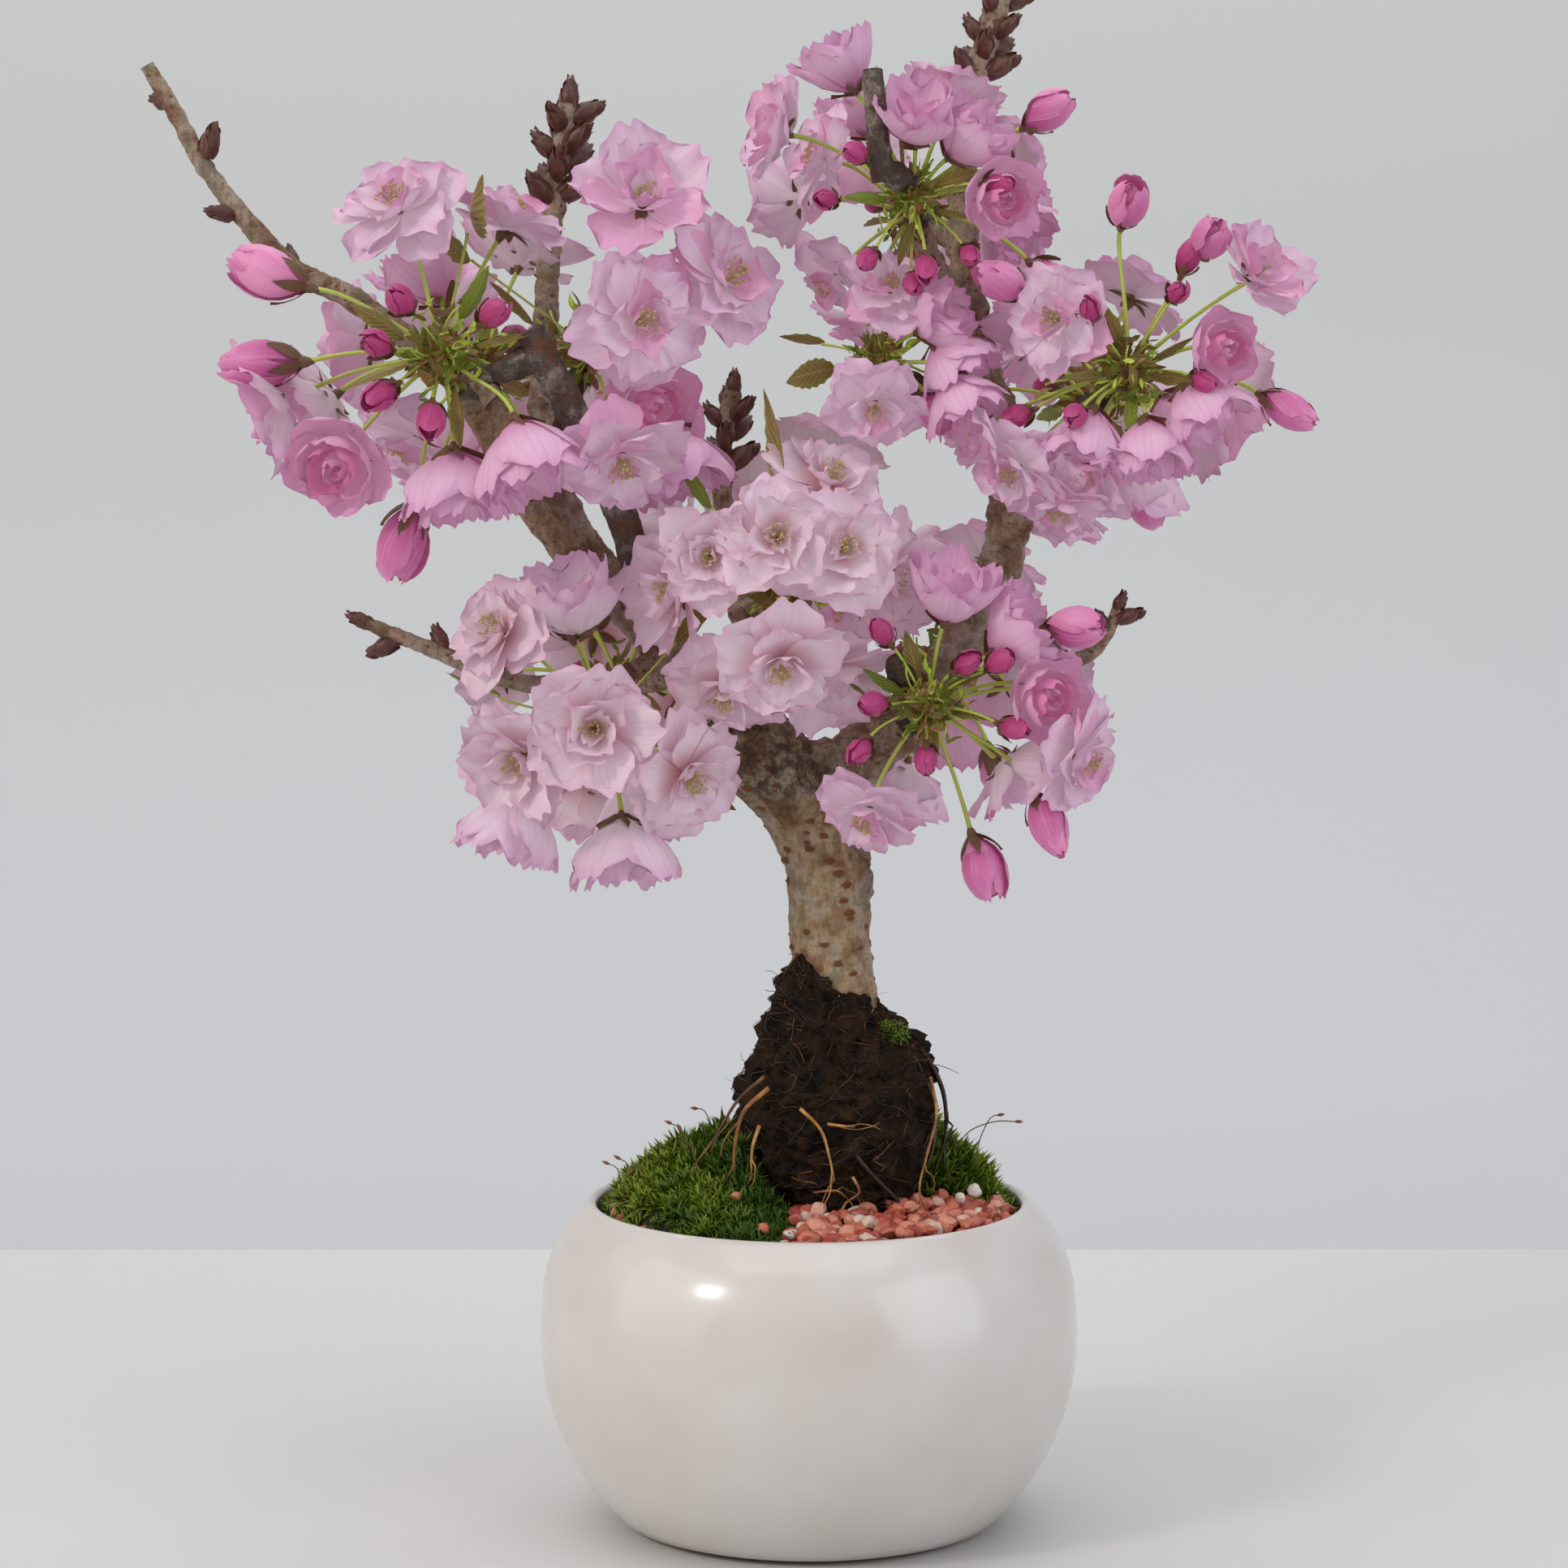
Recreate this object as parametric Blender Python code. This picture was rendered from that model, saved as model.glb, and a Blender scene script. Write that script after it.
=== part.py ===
"""Cherry bonsai in blossom: a small double-flowered cherry on its root ball in a round glazed pot.

Metres, +Z up. The origin is the centre of the pot's flat underside, +X is to the right of the
tree and -Y is its front. Sizes below are in millimetres and are turned to metres by MM.
"""

import math
import random
from typing import NamedTuple

import bmesh
import bpy
from mathutils import Matrix, Vector, noise
from mathutils.bvhtree import BVHTree

MM = 0.001
GAP = 0.3                       # between touching pieces
TRUNK_GAP = 0.45                # level, which leaves GAP or less on the trunk's slopes
WELD = 1e-7                     # metres: points this near are one point
UP = Vector((0.0, 0.0, 1.0))
ORIGIN = Vector((0.0, 0.0, 0.0))

# Pot
POT_SIDES = 30
SOIL_SIDES = 24
POT_R = 60.5                    # at the belly
POT_BELLY_Z = 42.0
POT_LOWER_A = 57.4              # half height of the ellipse below the belly
POT_UPPER_A = 41.6              # half height of the rounder curve above the belly
POT_UPPER_N = 2.8               # its power
POT_FOOT_R = 39.5
POT_RIM_Z = 73.0
POT_MOUTH_R = 46.8
POT_FLOOR_Z = 8.0
SOIL_Z = 65.7

# Root ball: height, centre across, centre deep, half width, half depth
BALL_RINGS = (
    (66.0, 8.0, 0.0, 14.0, 15.0),
    (74.0, 7.0, 0.0, 18.0, 18.0),
    (84.0, 6.0, 0.0, 21.5, 20.5),
    (94.0, 6.0, 0.0, 22.0, 21.0),
    (102.0, 6.5, 0.0, 20.5, 19.5),
    (110.0, 6.5, 0.0, 18.0, 17.0),
    (116.0, 4.5, -0.5, 13.0, 13.5),
    (121.0, 2.0, -2.5, 9.0, 9.5),
    (126.0, -1.0, -5.0, 4.0, 5.0),
)
BALL_SIDES = 13
BALL_LUMP = 1.6
ROOT_ANGLES = (-150, -112, -70, -12, 100)
ROOT_R = 1.1
ROOT_STEPS = 5
ROOT_ROOM = 3.2                 # from the root ball to the moss and gravel, which the roots fill

# Ground cover, as sectors of the pot seen from above: first and last angle, degrees
COVER_R = 46.0
COVER_Z = SOIL_Z + GAP
COVER_EDGE = 0.9                # height of its edge
COVER_STEPS = 8                 # round a sector
MOSS_LEFT = (112.0, 262.0)
MOSS_RIGHT = (-8.0, 110.0)
MOSS_LEFT_CREST = (185.0, 19.0)     # its angle and its height
MOSS_RIGHT_CREST = (20.0, 20.0)
COVER_INNER_R = 12.0            # inside the root ball, which cuts the cover back
GRAVEL_FRONT = (-96.5, -9.5)
GRAVEL_TOP = 3.6
PEBBLE_R = 2.3
PEBBLES = 11

# Trunk: height, centre across, centre deep, half width
TRUNK_RINGS = (
    (109.0, 6.6, 0.0, 12.6),
    (113.0, 6.3, 0.0, 10.6),
    (118.0, 6.0, 0.0, 9.5),
    (126.0, 5.2, 0.0, 9.0),
    (135.0, 4.7, 0.0, 8.9),
    (144.0, 4.4, 0.0, 9.4),
    (152.0, 3.2, 0.0, 10.0),
    (159.0, 0.0, 0.0, 10.8),
    (165.0, -4.5, 0.2, 12.0),
    (170.5, -8.5, 0.6, 12.6),
    (176.0, -11.0, 1.0, 11.2),
    (181.0, -12.5, 1.5, 8.0),
)
TRUNK_SIDES = 12


class Limb(NamedTuple):
    """A tapering limb, from its bends in millimetres and its radii at root and tip.

    It carries a number of winter buds of a mean length, from a share of its length outwards, and
    ends flat, or in a point.
    """

    name: str
    bends: tuple
    root_r: float
    tip_r: float
    buds: int = 0
    buds_from: float = 0.5
    bud: float = 8.0
    point: bool = False


LIMBS = (
    Limb("left_bough",
         ((-8.0, 1.0, 171.0), (-16.7, 3.0, 182.5), (-35.8, 6.0, 201.0), (-51.2, 8.0, 220.5),
          (-57.6, 9.5, 233.0), (-73.0, 12.0, 251.5)), 6.2, 3.5),
    Limb("left_tip",
         ((-72.0, 12.0, 250.4), (-88.0, 13.5, 264.0), (-103.0, 14.0, 275.0), (-115.5, 13.0, 281.5),
          (-126.5, 12.0, 293.0), (-134.7, 11.0, 304.0), (-140.7, 9.0, 315.5), (-146.8, 8.0, 326.0)),
         3.4, 1.7, 4, 0.50, 7.5),
    Limb("pale_bough",
         ((-54.0, 6.0, 219.0), (-62.5, 0.0, 229.0), (-70.0, -6.0, 243.0), (-75.5, -10.0, 253.0)), 3.2, 2.4),
    Limb("cut_branch",
         ((-36.0, 4.0, 207.0), (-41.0, -8.0, 226.0), (-49.5, -14.0, 245.0), (-57.0, -17.5, 260.0),
          (-60.5, -18.5, 267.5)), 3.6, 3.4),
    Limb("left_rear_twig",
         ((-57.5, 12.0, 233.0), (-60.2, 20.0, 250.0), (-59.8, 26.0, 269.0), (-58.0, 30.0, 296.0),
          (-54.7, 32.0, 319.0)), 3.4, 2.2, 11, 0.72, 9.5),
    Limb("middle_rear_twig",
         ((-13.0, 4.0, 179.0), (-13.5, 20.0, 192.0), (-18.0, 34.0, 216.0), (-20.0, 38.0, 236.0),
          (-17.5, 40.0, 254.0)), 3.2, 2.0, 9, 0.72, 8.0),
    Limb("left_bare_twig",
         ((-30.0, 5.0, 196.0), (-45.0, 4.0, 190.0), (-64.7, 2.0, 189.5), (-86.2, 0.0, 197.8),
          (-98.5, -2.0, 203.0)), 2.4, 1.6, 3, 0.55, 7.0, True),
    Limb("lower_left_bough",
         ((-10.0, 0.0, 169.0), (-22.5, -2.0, 167.6), (-31.0, -5.0, 171.0), (-39.0, -8.0, 176.0)), 3.6, 2.6),
    Limb("snag",
         ((-10.0, -2.0, 177.0), (-11.5, -4.5, 186.0), (-13.6, -6.5, 197.5)), 2.6, 1.5),
    Limb("centre_bough",
         ((-17.0, 2.0, 182.0), (-12.5, -2.0, 191.0), (-8.5, -9.0, 203.0)), 3.6, 2.6),
    Limb("right_bough",
         ((-3.0, 2.0, 168.0), (10.0, 4.0, 172.0), (23.0, 8.0, 182.0), (33.7, 10.0, 196.0),
          (42.0, 9.0, 212.5), (44.8, 8.0, 226.0), (43.5, 8.0, 240.0), (41.5, 8.0, 251.0)), 7.4, 4.2),
    Limb("right_tip",
         ((41.9, 8.0, 249.6), (38.8, 9.5, 260.0), (34.5, 13.0, 285.0), (34.8, 17.0, 304.0),
          (36.5, 20.0, 320.0), (41.0, 23.0, 336.0), (45.4, 26.0, 349.0)), 4.0, 2.6, 12, 0.68, 8.0),
    Limb("right_side_bough",
         ((44.0, 7.0, 222.0), (51.0, 2.0, 233.0), (58.0, -4.0, 244.0), (64.0, -9.0, 251.5)), 4.2, 2.8),
    Limb("top_bough",
         ((36.9, 11.0, 268.0), (31.0, 5.0, 276.0), (26.0, -1.0, 285.0), (23.6, -4.5, 290.0)), 2.9, 2.4),
    Limb("inner_bough",
         ((43.5, 8.0, 236.0), (34.0, 5.0, 246.0), (23.0, -1.0, 256.0)), 2.8, 2.2),
    Limb("right_bare_twig",
         ((36.5, 10.0, 199.0), (48.0, 8.0, 193.0), (61.0, 6.0, 194.6), (66.0, 5.0, 199.0),
          (69.0, 4.0, 206.0)), 2.4, 1.3, 3, 0.66, 6.0),
    Limb("lower_right_bough",
         ((12.5, 3.0, 174.0), (17.0, -6.0, 177.0), (21.5, -13.0, 181.0)), 3.4, 2.4),
    Limb("rear_upper_left_bough",
         ((-66.0, 11.5, 243.0), (-70.0, 22.0, 248.0), (-73.0, 33.0, 255.0)), 2.8, 2.2),
    Limb("rear_centre_bough",
         ((-15.5, 27.0, 203.0), (-10.0, 32.0, 207.0), (-7.0, 35.0, 210.5)), 2.6, 2.0),
    Limb("rear_lower_left_bough",
         ((-28.0, 5.0, 193.0), (-34.0, 16.0, 189.0), (-39.0, 26.0, 187.0)), 3.0, 2.2),
    Limb("rear_lower_right_bough",
         ((26.0, 9.0, 186.0), (29.0, 18.0, 187.5), (30.0, 25.0, 189.0)), 3.0, 2.2),
    Limb("rear_top_bough",
         ((35.0, 14.0, 288.0), (30.0, 22.0, 289.0), (27.0, 28.0, 291.5)), 2.6, 2.0),
    Limb("rear_right_bough",
         ((44.2, 8.5, 231.0), (53.0, 18.0, 240.0), (59.0, 25.0, 246.0)), 3.2, 2.4),
)
LIMB_SIDES = 6
BUD_SIDES = 4
BEND_STEP = 11.0                # length between two rings of a limb


class Ring(NamedTuple):
    """Flowers set evenly round a hub.

    tilt is degrees towards the mass's front, start the angle of the first place, reach the length
    of the stalks, face how far the flowers turn to the front, and places one letter a place.
    """

    tilt: float
    start: float
    reach: float
    face: float
    places: str


class Mass(NamedTuple):
    """A mass of blossom on one hub.

    bough carries its stem, which leaves it at a share of its length; hub is in millimetres, front
    the direction in degrees that it faces, and size scales its flowers.
    """

    name: str
    bough: str
    hub: tuple
    front: float
    size: float
    seed: int
    rings: tuple
    along: float = 1.0


FRONT = -90.0
REAR = 90.0
REAR_RINGS = (
    Ring(4, 10, 27, 0.35, "O.C.O..O.B.O.."),
    Ring(52, 55, 24, 0.80, "O.OC."),
    Ring(-30, 30, 27, 0.10, "O...C..O."),
    Ring(45, 20, 12, 0.3, "b.lb.lb.l"),
)
MASSES = (
    Mass("blossom_upper_left", "pale_bough", (-80.0, -14.0, 262.5), FRONT, 1.0, 11, (
        Ring(4, 3, 32, 0.75, "...L.L.O.......R..C....."),
        Ring(24, 309, 33, 0.60, "C"),
        Ring(-6, 3, 41, 0.0, "..........B.B....B......"),
        Ring(-26, 200, 34, 0.35, "O.C..O.O"),
        Ring(38, 171, 18, 0.25, "bbb..b.b"),
        Ring(15, 60, 15, 0.1, "l.ll.l.l"))),
    Mass("blossom_upper_middle", "left_bough", (-49.0, -1.0, 264.0), FRONT, 1.0, 23, (
        Ring(10, 66, 35, 0.6, "O.l...C.O"),
        Ring(20, -53, 23, 0.7, "R"),
        Ring(48, 24, 22, 0.8, "O"),
        Ring(-20, 150, 22, 0.2, "l...O.")), 0.80),
    Mass("blossom_centre", "centre_bough", (-7.0, -15.0, 212.0), FRONT, 0.92, 37, (
        Ring(4, 2, 25, 0.7, "OOOOOO"),
        Ring(52, 32, 24, 0.8, "ORO"),
        Ring(0, 92, 30, 0.0, "Ll....l..."),
        Ring(-34, 10, 24, 0.2, "O..O.O."))),
    Mass("blossom_lower_left", "lower_left_bough", (-46.0, -10.0, 181.0), FRONT, 0.95, 41, (
        Ring(12, 103, 31, 0.65, "CO...C.CO....."),
        Ring(36, 211, 26, 0.8, "O.OR.R"),
        Ring(84, 100, 27, 0.95, "O"),
        Ring(-26, 160, 26, 0.15, "O..CO..b"),
        Ring(-4, 165, 30, 0.0, "l...l.l.."))),
    Mass("blossom_inner_right", "inner_bough", (15.5, -7.0, 262.0), FRONT, 0.74, 71, (
        Ring(16, 31, 18, 0.6, "CO..LO.B."),
        Ring(-24, 80, 20, 0.2, "O.l.O.l."))),
    Mass("blossom_top", "top_bough", (22.6, -8.0, 296.5), FRONT, 0.78, 53, (
        Ring(0, 31, 34, 0.45, "B..COOL...B."),
        Ring(20, 0, 20, 0.6, "RCC.b.bb"),
        Ring(-26, 60, 27, 0.2, "O.O..C.O"),
        Ring(20, 20, 11, 0.1, "l.lll.l.l"))),
    Mass("blossom_right", "right_side_bough", (69.5, -13.0, 258.5), FRONT, 0.80, 67, (
        Ring(0, 40, 34, 0.45, "OB.B.OB..O.OC....B.."),
        Ring(20, 13, 20, 0.6, "Rb.blCCC"),
        Ring(-28, 350, 29, 0.2, "O...C..O."),
        Ring(20, 30, 11, 0.1, "l.lll.l.l"))),
    Mass("blossom_lower_right", "lower_right_bough", (25.5, -20.0, 186.5), FRONT, 0.86, 83, (
        Ring(0, 28, 37, 0.4, "B..........BBO."),
        Ring(10, 0, 26, 0.6, "RCC..LO.."),
        Ring(38, 180, 14, 0.2, "b.b..b.."),
        Ring(-22, 20, 30, 0.2, "O.C....O"),
        Ring(18, 30, 11, 0.1, "l.lll.l.l"))),
    Mass("blossom_rear_upper_left", "rear_upper_left_bough",
         (-75.5, 42.0, 260.0), REAR, 0.94, 101, REAR_RINGS),
    Mass("blossom_rear_centre", "rear_centre_bough",
         (-4.0, 42.0, 215.0), REAR, 0.90, 103, REAR_RINGS),
    Mass("blossom_rear_lower_left", "rear_lower_left_bough",
         (-43.0, 35.0, 186.0), REAR, 0.92, 107, REAR_RINGS),
    Mass("blossom_rear_lower_right", "rear_lower_right_bough",
         (31.0, 33.0, 190.5), REAR, 0.86, 109, REAR_RINGS),
    Mass("blossom_rear_top", "rear_top_bough",
         (23.5, 36.0, 295.0), REAR, 0.76, 113, REAR_RINGS),
    Mass("blossom_rear_right", "rear_right_bough",
         (64.0, 33.0, 252.0), REAR, 0.86, 127, REAR_RINGS),
)


class Bloom(NamedTuple):
    """A kind of flower, bud or leaf: radius, depth of its foot behind its centre, droop, stalk radius."""

    radius: float
    foot: float
    droop: float
    stalk: float


# Open flower, cup, rosette, bud and leaf. The places lettered b and l hold buds and leaves too small
# for a solid.
BLOOMS = {
    "O": Bloom(17.0, 5.0, 0.05, 0.9),
    "C": Bloom(12.0, 11.0, 0.30, 0.9),
    "R": Bloom(11.5, 7.5, 0.10, 0.9),
    "B": Bloom(6.3, 10.0, 0.10, 0.9),
    "L": Bloom(4.6, 14.0, -0.10, 0.8),
}
HUB_R = 4.2
STEM_RADII = (2.0, 1.7, 1.6)    # from the bough to the hub
STEM_SUNK = 1.0                 # starts this far inside its bough, and is cut back clear of it
STALK_SIDES = 3
STALK_STEPS = 1
STALK_SUNK = 1.6                # into the flower's foot
TRIES = ((0.0, 1.0), (7.0, 0.96), (-7.0, 0.96), (12.0, 0.86), (-12.0, 0.86), (0.0, 0.74))
CROWDING = 0.62                 # least distance of two flowers, by their radii
ROOM = 1.07                     # a flower is tested this much larger than it is
STALK_ROOM = 1.5                # and its stalk this much thicker


# ---------------------------------------------------------------- meshes

def material(name, color, roughness, coat=0.0):
    """Return a Principled material."""
    made = bpy.data.materials.new(name)
    made.use_nodes = True
    shader = made.node_tree.nodes["Principled BSDF"]
    shader.inputs["Base Color"].default_value = (*color, 1.0)
    shader.inputs["Roughness"].default_value = roughness
    shader.inputs["Coat Weight"].default_value = coat
    return made


def add_object(name, bm, finish, smooth=40.0):
    """Make an object, in metres, of a bmesh that is in millimetres."""
    bmesh.ops.scale(bm, vec=(MM, MM, MM), verts=bm.verts)
    bmesh.ops.recalc_face_normals(bm, faces=bm.faces)
    bmesh.ops.triangulate(bm, faces=bm.faces, quad_method='FIXED')
    mesh = bpy.data.meshes.new(name)
    bm.to_mesh(mesh)
    bm.free()
    mesh.materials.append(finish)
    mesh.shade_smooth()
    mesh.set_sharp_from_angle(angle=math.radians(smooth))
    made = bpy.data.objects.new(name, mesh)
    bpy.context.scene.collection.objects.link(made)
    return made


def ring_edges(bm, points):
    """Add a closed loop of points and return its edges."""
    verts = [bm.verts.new(point) for point in points]
    return [bm.edges.new((verts[i - 1], verts[i])) for i in range(len(verts))]


def loop_verts(edges):
    """Return the points of a loop in order."""
    return [edge.verts[1] for edge in edges]


def loft(bm, rings, low=None, high=None):
    """Bridge closed loops of points, and cap both ends flat or drawn to a point."""
    loops = [ring_edges(bm, ring) for ring in rings]
    for lower, upper in zip(loops, loops[1:]):
        bmesh.ops.bridge_loops(bm, edges=lower + upper)
    for loop, pole in ((loops[0], low), (loops[-1], high)):
        cap = bm.faces.new(loop_verts(loop))
        if pole is not None:
            centre = bmesh.ops.poke(bm, faces=[cap])["verts"][0]
            centre.co = pole


def apply_boolean(made, operation, solver, other=None, collection=None):
    """Apply a Boolean modifier to an object."""
    cut = made.modifiers.new("shape", 'BOOLEAN')
    cut.operation = operation
    cut.solver = solver
    if collection is None:
        cut.object = other
    else:
        cut.operand_type = 'COLLECTION'
        cut.collection = collection
    bpy.context.view_layer.update()
    shaped = bpy.data.meshes.new_from_object(made.evaluated_get(bpy.context.evaluated_depsgraph_get()))
    made.modifiers.remove(cut)
    made.data = shaped


def remove(made):
    """Remove an object from the scene."""
    bpy.data.objects.remove(made, do_unlink=True)


def unite(made, pieces):
    """Join closed pieces to an object by one Boolean union on a collection."""
    group = bpy.data.collections.new(made.name + "_pieces")
    bpy.context.scene.collection.children.link(group)
    for piece in pieces:
        bpy.context.scene.collection.objects.unlink(piece)
        group.objects.link(piece)
    apply_boolean(made, 'UNION', 'MANIFOLD', collection=group)
    for piece in pieces:
        remove(piece)
    bpy.data.collections.remove(group)
    keep_largest(made)


def keep_largest(made):
    """Drop the loose scraps and sealed hollows that a union leaves."""
    bm = bmesh.new()
    bm.from_mesh(made.data)
    bmesh.ops.remove_doubles(bm, verts=bm.verts, dist=WELD)
    islands = []
    left = set(bm.verts)
    while left:
        island = set()
        front = [left.pop()]
        while front:
            vert = front.pop()
            island.add(vert)
            for edge in vert.link_edges:
                other = edge.other_vert(vert)
                if other in left:
                    left.remove(other)
                    front.append(other)
        islands.append(island)
    islands.sort(key=len)
    for island in islands[:-1]:
        bmesh.ops.delete(bm, geom=list(island), context='VERTS')
    bm.to_mesh(made.data)
    bm.free()
    made.data.shade_smooth()
    made.data.set_sharp_from_angle(angle=math.radians(35.0))


def tree_of(made):
    """Return a search tree of an object's mesh."""
    mesh = made.data
    return BVHTree.FromPolygons([v.co for v in mesh.vertices], [p.vertices for p in mesh.polygons])


# ---------------------------------------------------------------- pot and ground

def pot_outer_r(z):
    """Return the pot's outer radius at a height."""
    if z < POT_BELLY_Z:
        return POT_R * math.sqrt(1.0 - ((POT_BELLY_Z - z) / POT_LOWER_A) ** 2)
    return POT_R * (1.0 - ((z - POT_BELLY_Z) / POT_UPPER_A) ** POT_UPPER_N) ** (1.0 / POT_UPPER_N)


def pot_inner_r(z):
    """Return the pot's inner radius at a height."""
    wall = 5.0 if z < POT_BELLY_Z else 5.0 - 2.2 * (z - POT_BELLY_Z) / (POT_RIM_Z - POT_BELLY_Z)
    return min(pot_outer_r(z) - wall, POT_MOUTH_R + 0.42 * (POT_RIM_Z - z))


def spin_profile(profile, sides):
    """Turn a profile of (radius, height) points about the Z axis."""
    bm = bmesh.new()
    verts = [bm.verts.new((r, 0.0, z)) for r, z in profile]
    edges = [bm.edges.new(pair) for pair in zip(verts, verts[1:])]
    bmesh.ops.spin(bm, geom=verts + edges, cent=ORIGIN, axis=UP, angle=2.0 * math.pi, steps=sides,
                   use_merge=True, use_duplicate=False)
    bmesh.ops.remove_doubles(bm, verts=bm.verts, dist=0.001)
    return bm


def make_pot(finish):
    """Make the round pot: flat foot, full belly and a rolled rim."""
    heights = (1.6, 8.0, 17.0, 28.0, 42.0, 53.0, 61.0, 67.5, 71.6)
    outside = [(0.0, 0.0), (POT_FOOT_R, 0.0)] + [(pot_outer_r(z), z) for z in heights]
    rim = [(POT_MOUTH_R + 1.6, POT_RIM_Z), (POT_MOUTH_R + 0.4, POT_RIM_Z - 0.9)]
    inside = [(pot_inner_r(z), z) for z in (66.0, 44.0, 22.0)]
    floor = [(POT_FOOT_R - 4.0, POT_FLOOR_Z), (0.0, POT_FLOOR_Z)]
    return add_object("pot", spin_profile(outside + rim + inside + floor, POT_SIDES), finish)


def make_soil(finish):
    """Make the soil that fills the pot, a gap clear of its wall."""
    wall = [(pot_inner_r(z) - 2.0 * GAP, z) for z in (22.0, 44.0, SOIL_Z)]
    foot = [(0.0, POT_FLOOR_Z + GAP), (POT_FOOT_R - 4.6, POT_FLOOR_Z + GAP)]
    return add_object("soil", spin_profile(foot + wall + [(0.0, SOIL_Z)], SOIL_SIDES), finish)


def lump(point, size):
    """Return a smooth value from -1 to 1 for a point in millimetres."""
    return noise.noise(Vector(point) / size)


def ball_point(ring, angle, swell=0.0):
    """Return a point on the root ball's skin."""
    z, x, y, half_x, half_y = ring
    place = Vector((x + half_x * math.cos(angle), y + half_y * math.sin(angle), z))
    outward = Vector((math.cos(angle), math.sin(angle), 0.0))
    return place + outward * (BALL_LUMP * lump(place, 7.0) + swell)


def make_roots(finish):
    """Make the roots that run down over the root ball."""
    roots = []
    for number, degrees in enumerate(ROOT_ANGLES):
        points = []
        for step in range(ROOT_STEPS):
            ring = BALL_RINGS[6 - step]
            sway = 9.0 * math.sin(1.7 * step + 2.3 * number)
            swell = 0.4 + 0.8 * math.sin(math.pi * step / (ROOT_STEPS - 1))
            points.append(ball_point(ring, math.radians(degrees + sway), swell))
        radii = [ROOT_R * (1.35 - 0.6 * step / (ROOT_STEPS - 1)) for step in range(ROOT_STEPS)]
        bm = bmesh.new()
        sweep(bm, points, radii, 4)
        roots.append(add_object("root_piece", bm, finish))
    return roots


def ball_bmesh(swell=0.0):
    """Return the plain root ball, swollen by a distance."""
    bm = bmesh.new()
    turns = [2.0 * math.pi * i / BALL_SIDES for i in range(BALL_SIDES)]
    rings = [[ball_point(ring, turn, swell) for turn in turns] for ring in BALL_RINGS]
    for point in rings[0]:
        point.z -= swell
    loft(bm, rings, high=Vector((-1.8, -6.0, 129.5)))
    return bm


def make_root_ball(finish, trunk_cutter):
    """Make the root ball that stands on the soil, with its roots and the trunk's seat."""
    ball = add_object("root_ball", ball_bmesh(), finish)
    unite(ball, make_roots(finish))
    apply_boolean(ball, 'DIFFERENCE', 'EXACT', other=trunk_cutter)
    keep_largest(ball)
    return ball


def cover_sector(span, height, across):
    """Make a mound over a sector of the pot, its top given by height(angle, share outwards)."""
    first, last = (math.radians(angle) for angle in span)
    bm = bmesh.new()
    bmesh.ops.create_grid(bm, x_segments=COVER_STEPS, y_segments=across, size=0.5)
    top = {}
    for vert in bm.verts:
        angle = first + (last - first) * (vert.co.x + 0.5)
        share = vert.co.y + 0.5
        reach = COVER_INNER_R + (COVER_R - COVER_INNER_R) * share
        edge = min(1.0, 5.0 * (0.5 - abs(vert.co.x)), 6.0 * (1.0 - share)) ** 0.5
        top[vert] = COVER_EDGE + height(angle, share) * max(edge, 0.0)
        vert.co = Vector((reach * math.cos(angle), reach * math.sin(angle), COVER_Z))
    flat = bm.faces[:]
    raised = bmesh.ops.extrude_face_region(bm, geom=flat, use_keep_orig=True)
    lifted = [item for item in raised["geom"] if isinstance(item, bmesh.types.BMVert)]
    below = {tuple(round(value, 4) for value in vert.co.xy): rise for vert, rise in top.items()}
    for vert in lifted:
        vert.co.z += below[tuple(round(value, 4) for value in vert.co.xy)]
    return bm


def make_moss(name, span, crest, finish, ball_cutter):
    """Make a moss mound that rises from the rim to the root ball, highest at its crest."""
    middle = math.radians(crest[0])

    def height(angle, share):
        near = max(0.0, math.cos(0.9 * (angle - middle)))
        wave = 1.0 + 0.22 * lump((40.0 * math.cos(angle), 40.0 * math.sin(angle), 30.0 * share), 9.0)
        return 4.0 + (crest[1] * near * near * (1.0 - share) ** 0.8 + 2.0 * (1.0 - share)) * wave

    mound = add_object(name, cover_sector(span, height, 5), finish)
    apply_boolean(mound, 'DIFFERENCE', 'MANIFOLD', other=ball_cutter)
    keep_largest(mound)
    return mound


def make_gravel(finish, ball_cutter):
    """Make the gravel bed with pebbles standing out of it."""
    dice = random.Random(5)

    def level(_angle, _share):
        return GRAVEL_TOP - COVER_EDGE

    bed = add_object("gravel", cover_sector(GRAVEL_FRONT, level, 4), finish)
    pebbles = []
    first, last = GRAVEL_FRONT
    for number in range(PEBBLES):
        share = (number + 0.5) / PEBBLES
        reach = 17.0 + 25.0 * ((number * 0.618) % 1.0) ** 0.6
        angle = math.radians(first + 6.0 + (last - first - 12.0) * share)
        bm = bmesh.new()
        bmesh.ops.create_cube(bm, size=2.0)
        for vert in bm.verts:
            vert.co = vert.co.normalized() * PEBBLE_R * dice.uniform(0.85, 1.2)
        heading = Matrix.Rotation(dice.uniform(0.0, math.pi), 4, 'Z')
        turn = heading @ Matrix.Rotation(dice.uniform(0.0, 3.0), 4, 'X')
        place = Vector((reach * math.cos(angle), reach * math.sin(angle), COVER_Z + GRAVEL_TOP))
        shape = Matrix.Translation(place) @ turn @ Matrix.Diagonal((1.0, 0.8, 0.7, 1.0))
        bmesh.ops.transform(bm, matrix=shape, verts=bm.verts)
        pebbles.append(add_object("pebble_piece", bm, finish))
    unite(bed, pebbles)
    apply_boolean(bed, 'DIFFERENCE', 'MANIFOLD', other=ball_cutter)
    keep_largest(bed)
    return bed


# ---------------------------------------------------------------- trunk and limbs

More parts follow.
